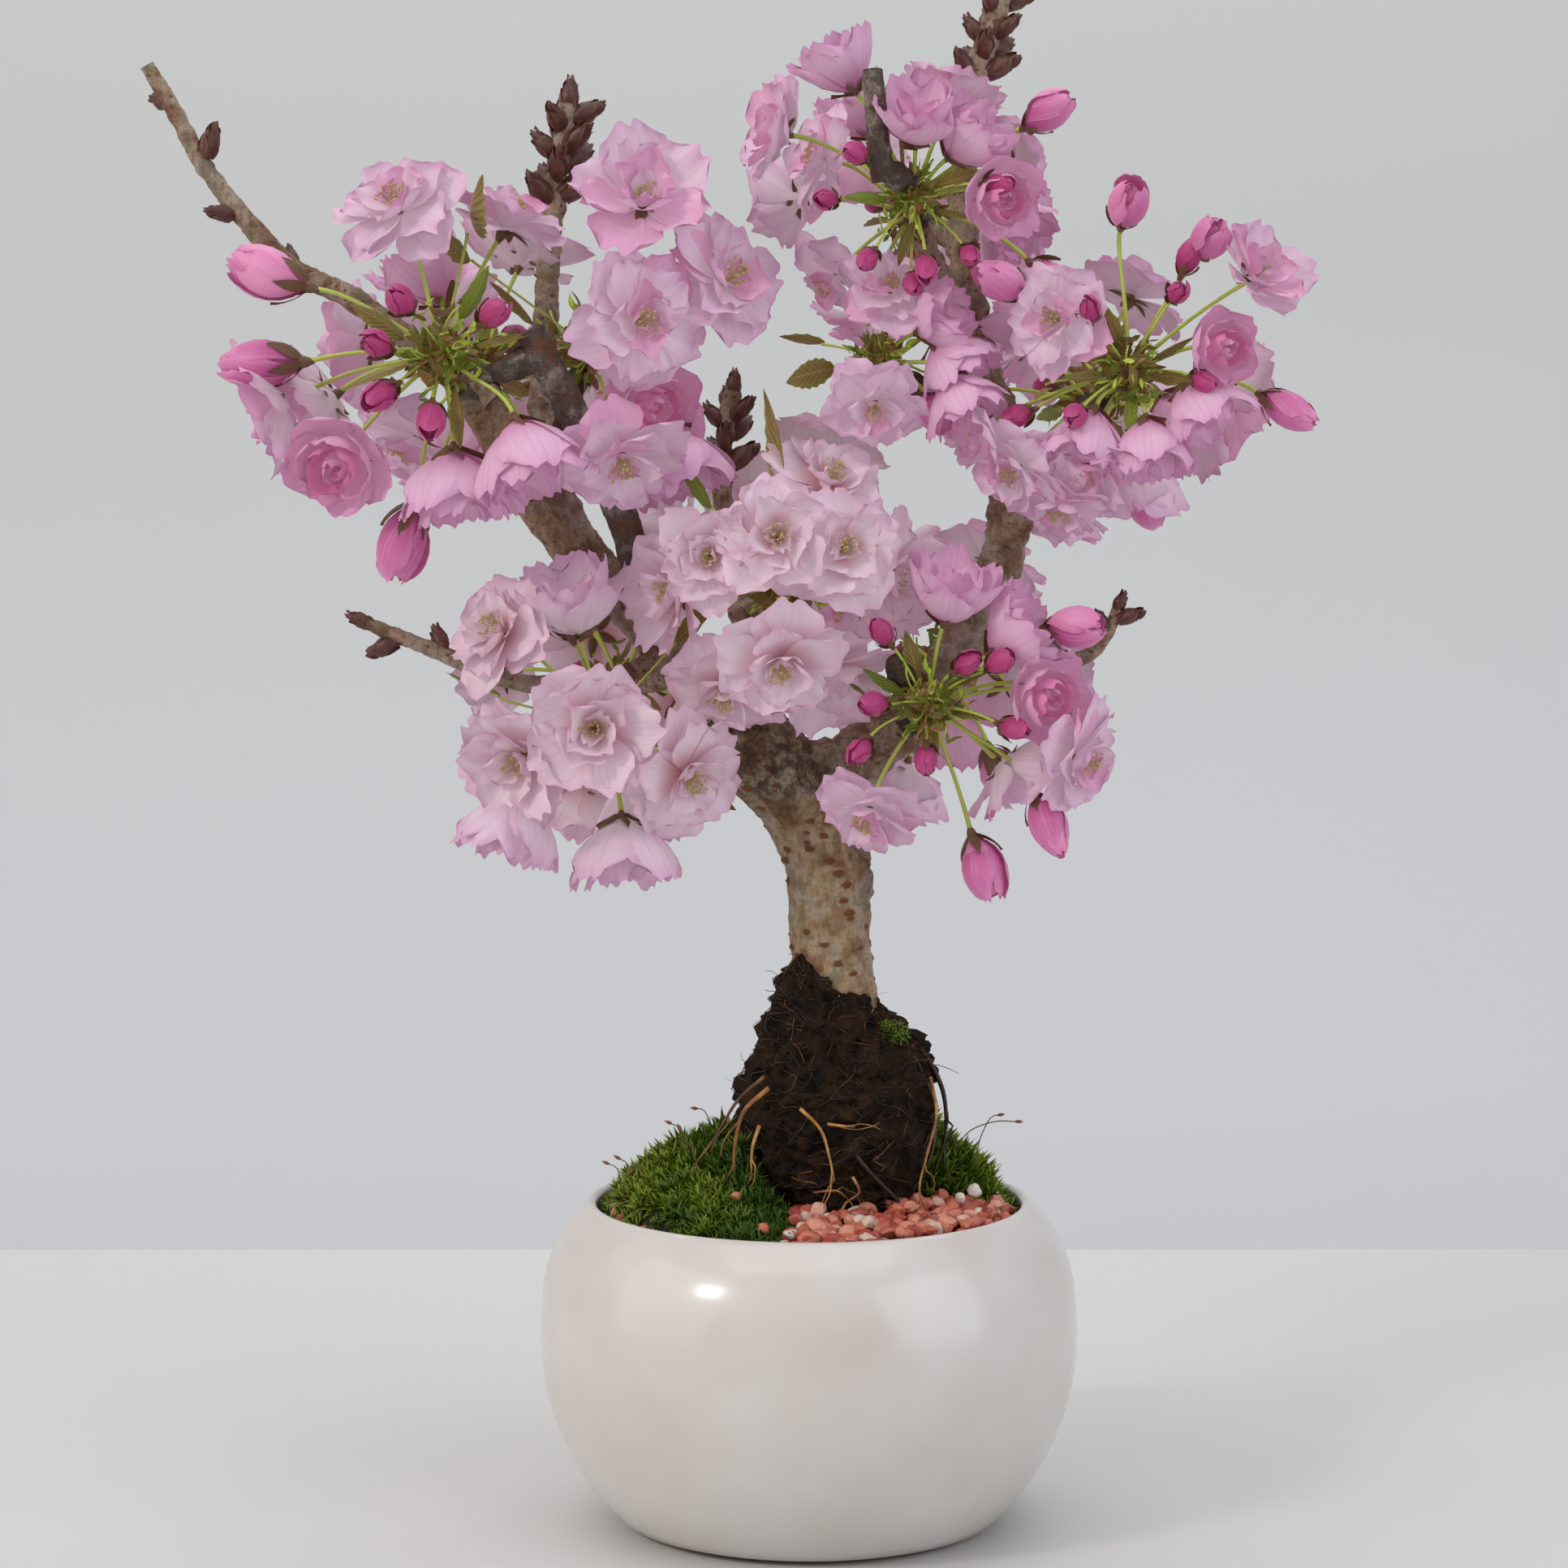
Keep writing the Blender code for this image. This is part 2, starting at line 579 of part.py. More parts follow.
def smooth_route(bends, step):
    """Return evenly spaced points of a smooth curve through the bends."""
    points = [Vector(bend) for bend in bends]
    padded = [2.0 * points[0] - points[1]] + points + [2.0 * points[-1] - points[-2]]
    route = []
    for a, b, c, d in zip(padded, padded[1:], padded[2:], padded[3:]):
        parts = max(1, round((c - b).length / step))
        for part in range(parts):
            t = part / parts
            route.append(0.5 * (2.0 * b + (c - a) * t + (2.0 * a - 5.0 * b + 4.0 * c - d) * t * t
                                + (3.0 * b - a - 3.0 * c + d) * t * t * t))
    return route + [points[-1]]


def sweep(bm, points, radii, sides, low=None, high=None):
    """Bridge rings of the given radii along a route."""
    rings = []
    side = None
    for i, point in enumerate(points):
        ahead = (points[min(i + 1, len(points) - 1)] - points[max(i - 1, 0)]).normalized()
        if side is None:
            side = ahead.orthogonal().normalized()
        side = (side - ahead * side.dot(ahead)).normalized()
        over = ahead.cross(side)
        turns = [2.0 * math.pi * k / sides for k in range(sides)]
        rings.append([point + radii[i] * (side * math.cos(t) + over * math.sin(t)) for t in turns])
    loft(bm, rings, low, high)


def limb_radii(limb, count):
    """Return a limb's radii from root to tip, with a slight swell at its foot."""
    shares = [i / (count - 1) for i in range(count)]
    return [limb.tip_r + (limb.root_r - limb.tip_r) * (1.0 - share) ** 1.2 for share in shares]


def limb_tube(limb, grow=0.0):
    """Return a limb's plain tube, grown by a distance on every side."""
    points = smooth_route(limb.bends, BEND_STEP)
    radii = [radius + grow for radius in limb_radii(limb, len(points))]
    tip = (points[-1] - points[-2]).normalized()
    points[-1] = points[-1] + tip * grow
    high = points[-1] + tip * 5.0 if limb.point else None
    bm = bmesh.new()
    sweep(bm, points, radii, LIMB_SIDES, high=high)
    return bm


def bud_piece(place, aim, length, finish):
    """Make one pointed winter bud."""
    bm = bmesh.new()
    aim = aim.normalized()
    side = aim.orthogonal().normalized()
    over = aim.cross(side)
    turns = [2.0 * math.pi * k / BUD_SIDES for k in range(BUD_SIDES)]
    middle = place + aim * length * 0.36
    ring = [middle + length * 0.28 * (side * math.cos(t) + over * math.sin(t)) for t in turns]
    loft(bm, [ring], low=place - aim * length * 0.1, high=place + aim * length)
    return add_object("bud_piece", bm, finish)


def limb_buds(limb, finish):
    """Make a limb's winter buds, in a spiral round its outer part and one at its tip."""
    points = smooth_route(limb.bends, BEND_STEP)
    radii = limb_radii(limb, len(points))
    buds = []
    for number in range(limb.buds):
        share = limb.buds_from + (0.97 - limb.buds_from) * (number + 0.5) / limb.buds
        spot = share * (len(points) - 1)
        i = min(int(spot), len(points) - 2)
        place = points[i].lerp(points[i + 1], spot - i)
        ahead = (points[i + 1] - points[i]).normalized()
        turn = Matrix.Rotation(2.4 * number + 0.6, 3, ahead)
        outward = turn @ ahead.orthogonal().normalized()
        foot = place + outward * radii[i] * 0.55
        length = limb.bud * (0.85 + 0.15 * (number % 3))
        buds.append(bud_piece(foot, ahead * 0.85 + outward, length, finish))
    return buds


def trunk_bmesh(grow=0.0):
    """Return the trunk: root flare, lean, taper and the burr at its fork."""
    bm = bmesh.new()
    rings = []
    for z, x, y, half in TRUNK_RINGS:
        ring = []
        for k in range(TRUNK_SIDES):
            angle = 2.0 * math.pi * k / TRUNK_SIDES
            flare = 1.2 * max(0.0, (118.0 - z) / 9.0) * math.cos(5.0 * angle + 0.8)
            burr = 1.9 * min(1.0, max(0.0, (z - 156.0) / 10.0))
            out = Vector((math.cos(angle), math.sin(angle), 0.0))
            knob = burr * lump(Vector((x, y, z)) + out * half, 6.5) * 1.6
            ring.append(Vector((x, y, z)) + out * (half + flare + knob + grow))
        rings.append(ring)
    for point in rings[0]:
        point.z -= grow
    loft(bm, rings, high=Vector((-13.5, 2.0, 184.0 + grow)))
    return bm


def make_trunk(finish):
    """Make the trunk, flat at its foot."""
    return add_object("trunk", trunk_bmesh(), finish)


def seat(made, earlier, finish):
    """Cut an object a gap clear of each earlier limb that it runs into; None is the trunk."""
    for limb in earlier:
        shape = trunk_bmesh(TRUNK_GAP) if limb is None else limb_tube(limb, GAP)
        cutter = add_object("cutter", shape, finish)
        if tree_of(made).overlap(tree_of(cutter)):
            apply_boolean(made, 'DIFFERENCE', 'EXACT', other=cutter)
        remove(cutter)
    keep_largest(made)


def make_limb(limb, finish, earlier):
    """Make a limb, seated on the limb or the trunk that it grows from."""
    made = add_object(limb.name, limb_tube(limb), finish)
    if limb.buds:
        unite(made, limb_buds(limb, finish))
    seat(made, earlier, finish)
    return made


# ---------------------------------------------------------------- blossom

def circle(count, radius, height, start=0.0, steps=(1.0,)):
    """Return points round the axis, their radius stepped through the given factors."""
    ring = []
    for k in range(count):
        angle = start + 2.0 * math.pi * k / count
        factor = steps[k % len(steps)]
        ring.append(Vector((radius * factor * math.cos(angle), radius * factor * math.sin(angle), height)))
    return ring


def petal_rim(radius, height, notch):
    """Return the outline of five petals: a notch and two shoulders each."""
    rim = []
    for petal in range(5):
        middle = 2.0 * math.pi * petal / 5.0
        for offset, factor in ((-36.0, notch), (-17.0, 1.0), (17.0, 1.0)):
            angle = middle + math.radians(offset)
            lift = height if factor == 1.0 else height * 0.2
            rim.append(Vector((radius * factor * math.cos(angle), radius * factor * math.sin(angle), lift)))
    return rim


def bloom_bmesh(kind, size):
    """Return one flower, bud or leaf about its centre, facing +Z, in millimetres."""
    bm = bmesh.new()
    bloom = BLOOMS[kind]
    r = bloom.radius * size
    foot = Vector((0.0, 0.0, -bloom.foot * size))
    if kind == "O":
        loft(bm, (petal_rim(r, 0.10 * r, 0.68), circle(5, 0.42 * r, 0.16 * r)),
             low=foot, high=Vector((0.0, 0.0, 0.06 * r)))
    elif kind == "C":
        loft(bm, (circle(5, 0.55 * r, -0.66 * r), circle(5, 0.96 * r, -0.10 * r),
                  circle(10, 0.98 * r, 0.50 * r, 0.0, (1.0, 0.84))),
             low=foot, high=Vector((0.0, 0.0, 0.10 * r)))
    elif kind == "R":
        loft(bm, (circle(5, 0.72 * r, -0.36 * r), circle(10, r, 0.12 * r, 0.0, (1.0, 0.90)),
                  circle(5, 0.60 * r, 0.46 * r)), low=foot, high=Vector((0.0, 0.0, 0.32 * r)))
    elif kind == "B":
        length = 2.0 * bloom.foot * size
        loft(bm, (circle(5, 0.70 * r, -0.22 * length), circle(5, r, 0.12 * length, 0.6)),
             low=foot, high=Vector((0.0, 0.0, 0.5 * length)))
    else:
        length = bloom.foot * size
        thick = 0.07 * r + 0.16
        outline = ((0.0, -length), (r, -0.1 * length), (0.0, length), (-r, -0.1 * length))
        bow = 0.10 * length
        ring = [Vector((x, 0.0, z)) + Vector((0.0, bow * (z / length) ** 2, 0.0)) for x, z in outline]
        edges = ring_edges(bm, ring)
        for side in (-1.0, 1.0):
            cap = bm.faces.new(loop_verts(edges))
            bmesh.ops.poke(bm, faces=[cap])["verts"][0].co = (0.0, side * thick, 0.0)
    bmesh.ops.recalc_face_normals(bm, faces=bm.faces)
    return bm


def candidates(mass):
    """Yield each place of a mass: its kind and its trial frames, by the seeded rule."""
    dice = random.Random(mass.seed)
    front = Vector((math.cos(math.radians(mass.front)), math.sin(math.radians(mass.front)), 0.0))
    right = UP.cross(front)
    for ring in mass.rings:
        for number, kind in enumerate(ring.places):
            draws = [dice.uniform(-1.0, 1.0) for _ in range(6)]
            if kind not in BLOOMS:
                continue
            bloom = BLOOMS[kind]
            frames = []
            for turn, shrink in TRIES:
                angle = math.radians(ring.start + 360.0 * number / len(ring.places) + 3.0 * draws[0] + turn)
                tilt = math.radians(ring.tilt + 6.0 * draws[1])
                flat = right * math.cos(angle) + UP * math.sin(angle)
                out = flat * math.cos(tilt) + front * math.sin(tilt)
                sway = right * draws[3] + UP * draws[4]
                aim = out * (1.0 - ring.face) + front * ring.face + sway * 0.16 - UP * bloom.droop
                reach = ring.reach * (1.0 + 0.05 * draws[2]) * shrink
                frames.append((Vector(mass.hub) + out * reach, aim.normalized(), math.pi * draws[5], out))
            yield kind, frames


def frame_matrix(centre, aim, spin, scale=1.0):
    """Return the matrix that places a flower facing along aim."""
    return (Matrix.Translation(centre) @ aim.to_track_quat('Z', 'Y').to_matrix().to_4x4()
            @ Matrix.Rotation(spin, 4, 'Z') @ Matrix.Scale(scale, 4))


def search_tree(bm):
    """Return a search tree, in metres, of a bmesh in millimetres."""
    bmesh.ops.scale(bm, vec=(MM, MM, MM), verts=bm.verts)
    return BVHTree.FromBMesh(bm)


def stalk_bmesh(hub, out, foot, aim, radius):
    """Return a flower's stalk, which leaves the hub outwards and meets the flower's foot."""
    span = (foot - hub).length
    first = hub + out * HUB_R * 0.4
    second = first + out * span * 0.40
    third = foot - aim * span * 0.25
    last = foot + aim * STALK_SUNK
    points = []
    for step in range(STALK_STEPS + 1):
        t = step / STALK_STEPS
        s = 1.0 - t
        points.append(first * s ** 3 + second * 3.0 * s * s * t + third * 3.0 * s * t * t + last * t ** 3)
    bm = bmesh.new()
    sweep(bm, points, [radius] * len(points), STALK_SIDES)
    return bm


def mass_pieces(mass, finish, taken):
    """Make the flowers of a mass that keep clear of every limb and of the other masses."""
    hub = Vector(mass.hub)
    pieces = []
    placed = []
    for kind, frames in candidates(mass):
        bloom = BLOOMS[kind]
        radius = bloom.radius * mass.size
        for centre, aim, spin, out in frames:
            if kind != "L" and any((centre - spot).length < CROWDING * (radius + other)
                                        for spot, other in placed):
                continue
            trial = bloom_bmesh(kind, mass.size)
            bmesh.ops.transform(trial, matrix=frame_matrix(centre, aim, spin, ROOM), verts=trial.verts)
            foot = centre - aim * bloom.foot * mass.size
            stalk = stalk_bmesh(hub, out, foot, aim, bloom.stalk * STALK_ROOM)
            clear = True
            for bm in (trial, stalk):
                tree = search_tree(bm)
                bm.free()
                clear = clear and not any(tree.overlap(other) for other in taken)
            if clear:
                shape = bloom_bmesh(kind, mass.size)
                bmesh.ops.transform(shape, matrix=frame_matrix(centre, aim, spin), verts=shape.verts)
                pieces.append(add_object("flower_piece", shape, finish))
                stem = stalk_bmesh(hub, out, foot, aim, bloom.stalk)
                pieces.append(add_object("stalk_piece", stem, finish))
                if kind != "L":
                    placed.append((centre, radius))
                break
    return pieces


def make_mass(mass, limbs, finish, taken):
    """Make one mass: a stem from its bough's tip, a hub, and the stalks and flowers round it."""
    bough = limbs[mass.bough]
    hub = Vector(mass.hub)
    route = smooth_route(bough.bends, 1.0)
    tip = route[round(mass.along * (len(route) - 1))]
    toward = (hub - tip).normalized()
    bm = bmesh.new()
    sweep(bm, [tip - toward * STEM_SUNK, tip.lerp(hub, 0.5), hub], STEM_RADII, LIMB_SIDES)
    stem = add_object(mass.name, bm, finish)
    seat(stem, [None, *limbs.values()], finish)
    knob = bmesh.new()
    bmesh.ops.create_icosphere(knob, subdivisions=1, radius=HUB_R)
    bmesh.ops.translate(knob, vec=hub, verts=knob.verts)
    pieces = [add_object("hub_piece", knob, finish)]
    unite(stem, pieces + mass_pieces(mass, finish, taken))
    return stem


def main():
    """Build the bonsai."""
    for old in list(bpy.data.objects):
        bpy.data.objects.remove(old, do_unlink=True)
    glaze = material("glaze", (0.80, 0.77, 0.73), 0.12, 0.6)
    earth = material("soil", (0.045, 0.030, 0.020), 0.95)
    rooty = material("root_ball", (0.055, 0.035, 0.022), 0.95)
    moss = material("moss", (0.060, 0.130, 0.015), 0.90)
    stones = material("gravel", (0.560, 0.230, 0.170), 0.55)
    bark = material("bark", (0.270, 0.190, 0.125), 0.85)
    petals = material("blossom", (0.780, 0.440, 0.640), 0.60)

    make_pot(glaze)
    make_soil(earth)
    trunk = make_trunk(bark)
    trunk_cutter = add_object("trunk_cutter", trunk_bmesh(TRUNK_GAP), bark)
    make_root_ball(rooty, trunk_cutter)
    remove(trunk_cutter)
    ball_cutter = add_object("ball_cutter", ball_bmesh(ROOT_ROOM), rooty)
    make_moss("moss_left", MOSS_LEFT, MOSS_LEFT_CREST, moss, ball_cutter)
    make_moss("moss_right", MOSS_RIGHT, MOSS_RIGHT_CREST, moss, ball_cutter)
    make_gravel(stones, ball_cutter)
    remove(ball_cutter)

    limbs = {limb.name: limb for limb in LIMBS}
    taken = [tree_of(trunk)]
    for number, limb in enumerate(LIMBS):
        taken.append(tree_of(make_limb(limb, bark, [None, *LIMBS[:number]])))
    for mass in MASSES:
        taken.append(tree_of(make_mass(mass, limbs, petals, taken)))


main()
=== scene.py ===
"""Dresses a potted cherry bonsai in blossom.

Sizes are in millimetres; a finished piece is turned to metres. The origin is the centre of the pot's
flat foot, +X is to the tree's right and -Y is its front.
"""

from __future__ import annotations

import logging
import math
import random
from dataclasses import dataclass
from enum import Enum
from typing import Callable, Iterator, Optional, Sequence, Union

import bmesh
import bpy
from bmesh.types import BMesh, BMVert
from mathutils import Matrix, Vector, noise
from mathutils.bvhtree import BVHTree


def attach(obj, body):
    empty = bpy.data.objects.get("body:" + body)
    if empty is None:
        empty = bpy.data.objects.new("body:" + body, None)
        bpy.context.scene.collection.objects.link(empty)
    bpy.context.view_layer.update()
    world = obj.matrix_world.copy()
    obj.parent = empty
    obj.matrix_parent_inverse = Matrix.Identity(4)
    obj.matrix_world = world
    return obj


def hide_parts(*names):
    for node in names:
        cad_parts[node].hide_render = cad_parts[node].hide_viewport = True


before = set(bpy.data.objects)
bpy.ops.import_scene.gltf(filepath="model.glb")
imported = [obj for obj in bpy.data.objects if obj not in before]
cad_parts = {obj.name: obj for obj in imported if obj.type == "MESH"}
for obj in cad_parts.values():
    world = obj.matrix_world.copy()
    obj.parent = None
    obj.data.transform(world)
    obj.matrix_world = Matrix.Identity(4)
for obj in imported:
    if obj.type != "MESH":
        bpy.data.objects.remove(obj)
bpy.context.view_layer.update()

LOG = logging.getLogger("bonsai")
MM = 0.001
WELD = 1e-4
UV_NAME = "OFBake"
UP = Vector((0.0, 0.0, 1.0))
ORIGIN = Vector((0.0, 0.0, 0.0))
GOLDEN_TURN = 2.4               # radians from one to the next of the things that are set in a spiral
Point = tuple[float, float, float]
Colour = tuple[float, float, float]
Place = Callable[[float, float], Vector]
Paint = Callable[[BMVert, float, float], None]
Cell = Optional[Enum]


# ---------------------------------------------------------------- shader maths

Value = Union["Sock", float]


class Sock:
    """A node's value that Python's operators work on."""

    def __init__(self, graph: Graph, socket: bpy.types.NodeSocket) -> None:
        """Wraps a socket of a graph."""
        self.graph = graph
        self.socket = socket

    def math(self, operation: str, *others: Value, clamp: bool = False) -> Sock:
        """Puts this value and others through a Math node.

        Args:
            operation: The node's operation.
            *others: What follows this value on the node's sockets.
            clamp: Whether the result is held between 0 and 1.

        Returns:
            The result.
        """
        return self.graph.node("ShaderNodeMath", {"operation": operation, "use_clamp": clamp},
                               dict(enumerate((self, *others))))

    def __add__(self, other: Value) -> Sock:
        """Returns the sum."""
        return self.math('ADD', other)

    __radd__ = __add__

    def __sub__(self, other: Value) -> Sock:
        """Returns the difference."""
        return self.math('SUBTRACT', other)

    def __rsub__(self, other: float) -> Sock:
        """Returns a number less this value."""
        return (self * -1.0) + other

    def __mul__(self, other: Value) -> Sock:
        """Returns the product."""
        return self.math('MULTIPLY', other)

    __rmul__ = __mul__

    def __pow__(self, other: float) -> Sock:
        """Returns a power."""
        return self.math('POWER', other)

    def ease(self, low: float, high: float) -> Sock:
        """Cuts this value down to a slope.

        Args:
            low: The value that becomes 0, as does all below it.
            high: The value that becomes 1, as does all above it.

        Returns:
            The slope from 0 to 1.
        """
        return ((self - low) * (1.0 / (high - low))).math('ADD', 0.0, clamp=True)


Feed = Union[Sock, float, Sequence[float]]


class Graph:
    """A material's nodes, with its Principled shader ready."""

    def __init__(self, name: str) -> None:
        """Starts a material.

        Args:
            name: Its name.
        """
        self.material = bpy.data.materials.new(name)
        self.material.use_nodes = True
        self.tree = self.material.node_tree
        self.shader = self.tree.nodes["Principled BSDF"]

    def feed(self, socket: bpy.types.NodeSocket, value: Feed) -> None:
        """Links or sets one socket.

        Args:
            socket: The input.
            value: A value to link, or a constant for it.
        """
        if isinstance(value, Sock):
            self.tree.links.new(value.socket, socket)
        elif isinstance(value, (int, float)):
            socket.default_value = value
        else:
            socket.default_value = (*value, 1.0) if socket.type == 'RGBA' else tuple(value)

    def node(self, kind: str, settings: dict[str, object], sockets: dict[Union[int, str], Feed],
             out: Union[int, str] = 0) -> Sock:
        """Adds a node.

        Args:
            kind: The node's type.
            settings: Its own settings; "stops" are a ramp's places and colours.
            sockets: Values or links of its inputs, by name or number.
            out: The output to return.

        Returns:
            The output's value.
        """
        made = self.tree.nodes.new(kind)
        for name, value in settings.items():
            if name == "stops":
                self.set_stops(made.color_ramp, value)
            elif name == "interpolation":
                made.color_ramp.interpolation = value
            else:
                setattr(made, name, value)
        for key, value in sockets.items():
            self.feed(made.inputs[key], value)
        return Sock(self, made.outputs[out])

    @staticmethod
    def set_stops(ramp: bpy.types.ColorRamp, stops: Sequence[tuple[float, Colour]]) -> None:
        """Sets a ramp's stops.

        Args:
            ramp: The ramp.
            stops: Each stop's place from 0 to 1, and its colour.
        """
        while len(ramp.elements) < len(stops):
            ramp.elements.new(1.0)
        for element, (place, colour) in zip(ramp.elements, stops):
            element.position = place
            element.color = (*colour, 1.0)

    def ramp(self, value: Sock, stops: Sequence[tuple[float, Colour]], steps: bool = False) -> Sock:
        """Turns a value into a colour.

        Args:
            value: A value from 0 to 1.
            stops: The ramp's places and colours.
            steps: Whether a colour holds until the next, with no blend between them.

        Returns:
            The colour.
        """
        kind = 'CONSTANT' if steps else 'LINEAR'
        return self.node("ShaderNodeValToRGB", {"interpolation": kind, "stops": stops}, {0: value})

    def mix(self, low: Feed, high: Feed, factor: Value, blend: str = 'MIX') -> Sock:
        """Mixes two colours.

        Args:
            low: The colour where the factor is 0.
            high: The colour where it is 1.
            factor: How much of the second there is.
            blend: The way they are blended.

        Returns:
            The mixed colour.
        """
        return self.node("ShaderNodeMix", {"data_type": 'RGBA', "blend_type": blend, "clamp_factor": True},
                         {0: factor, 6: low, 7: high}, 2)

    def spot(self, stretch: Point = (1.0, 1.0, 1.0)) -> Sock:
        """Measures places on the object.

        Args:
            stretch: A factor for each axis.

        Returns:
            Object coordinates in millimetres, times the stretch.
        """
        place = self.node("ShaderNodeTexCoord", {}, {}, "Object")
        scale = tuple(value / MM for value in stretch)
        return self.node("ShaderNodeVectorMath", {"operation": 'MULTIPLY'}, {0: place, 1: scale})

    def grain(self, place: Sock, scale: float, detail: float = 3.0, rough: float = 0.55) -> Sock:
        """Adds a noise.

        Args:
            place: Where it is read.
            scale: How fine it is, in waves to a unit of place.
            detail: How many finer noises lie on it.
            rough: How strong they are.

        Returns:
            The noise, from 0 to 1.
        """
        return self.node("ShaderNodeTexNoise", {}, {"Vector": place, "Scale": scale, "Detail": detail,
                                                    "Roughness": rough})

    def cells(self, place: Sock, scale: float) -> Sock:
        """Returns the distance to the nearest of scattered points."""
        return self.node("ShaderNodeTexVoronoi", {}, {"Vector": place, "Scale": scale}, "Distance")

    def mark(self, name: str) -> Sock:
        """Returns a number that the mesh carries."""
        return self.node("ShaderNodeAttribute", {"attribute_name": name}, {}, "Fac")

    def atlas(self, count: int) -> tuple[Sock, Sock, Sock]:
        """Reads the atlas map.

        Args:
            count: How many cells the atlas has.

        Returns:
            The cell's number, the place across the cell and the place along it.
        """
        place = self.node("ShaderNodeUVMap", {"uv_map": UV_NAME}, {})
        across = self.node("ShaderNodeSeparateXYZ", {}, {0: place}, "X") * float(count)
        along = self.node("ShaderNodeSeparateXYZ", {}, {0: place}, "Y")
        return across.math('FLOOR'), across.math('FRACT'), along

    def joined(self, x: Value, y: Value, z: Value) -> Sock:
        """Returns a vector of three values."""
        return self.node("ShaderNodeCombineXYZ", {}, {0: x, 1: y, 2: z})

    def bump(self, height: Sock, depth: float, strength: float = 1.0) -> None:
        """Raises the shader's surface.

        Args:
            height: The height, from 0 to 1.
            depth: What a height of 1 comes to, in millimetres.
            strength: How much of it shows.
        """
        normal = self.node("ShaderNodeBump", {}, {"Height": height, "Distance": depth * MM,
                                                  "Strength": strength}, "Normal")
        self.feed(self.shader.inputs["Normal"], normal)

    def finish(self, **sockets: Feed) -> bpy.types.Material:
        """Sets the shader's sockets.

        Args:
            **sockets: A value for each socket, named with _ for a space.

        Returns:
            The material.
        """
        for name, value in sockets.items():
            self.feed(self.shader.inputs[name.replace("_", " ")], value)
        return self.material


# ---------------------------------------------------------------- finishes

@dataclass(frozen=True)
class Glaze:
    """An off-white gloss glaze over a body left bare at the foot."""

    pale: Colour = (0.700, 0.672, 0.650)
    warm: Colour = (0.640, 0.585, 0.545)
    clay: Colour = (0.300, 0.180, 0.110)
    roughness: float = 0.20

    def make(self) -> bpy.types.Material:
        """Makes the finish.

        Returns:
            The material.
        """
        graph = Graph("glaze")
        place = graph.spot()
        cloud = graph.grain(place, 0.030, 2.0)
        specks = graph.grain(place, 1.1, 1.0)
        glaze = graph.mix(self.pale, self.warm, cloud.ease(0.35, 0.70))
        glaze = graph.mix(glaze, self.warm, specks.ease(0.66, 0.76) * 0.35)
        height = graph.node("ShaderNodeSeparateXYZ", {}, {0: place}, "Z")
        bare = 1.0 - (height + graph.grain(place, 0.35) * 0.6).ease(0.9, 1.5)
        colour = graph.mix(glaze, self.clay, bare)
        graph.bump(graph.grain(place, 0.09, 2.0), 0.10, 0.25)
        return graph.finish(Base_Color=colour, Roughness=bare * 0.6 + self.roughness, Coat_Weight=0.35,
                            Coat_Roughness=0.10)


BARK_MARKS = ("tone", "pore", "burr")


class Wood(Enum):
    """The kinds of bark, by the number that the mesh carries."""

    TRUNK = 0.0
    TWIG = 0.3
    GREY = 0.6
    STRIPPED = 0.9


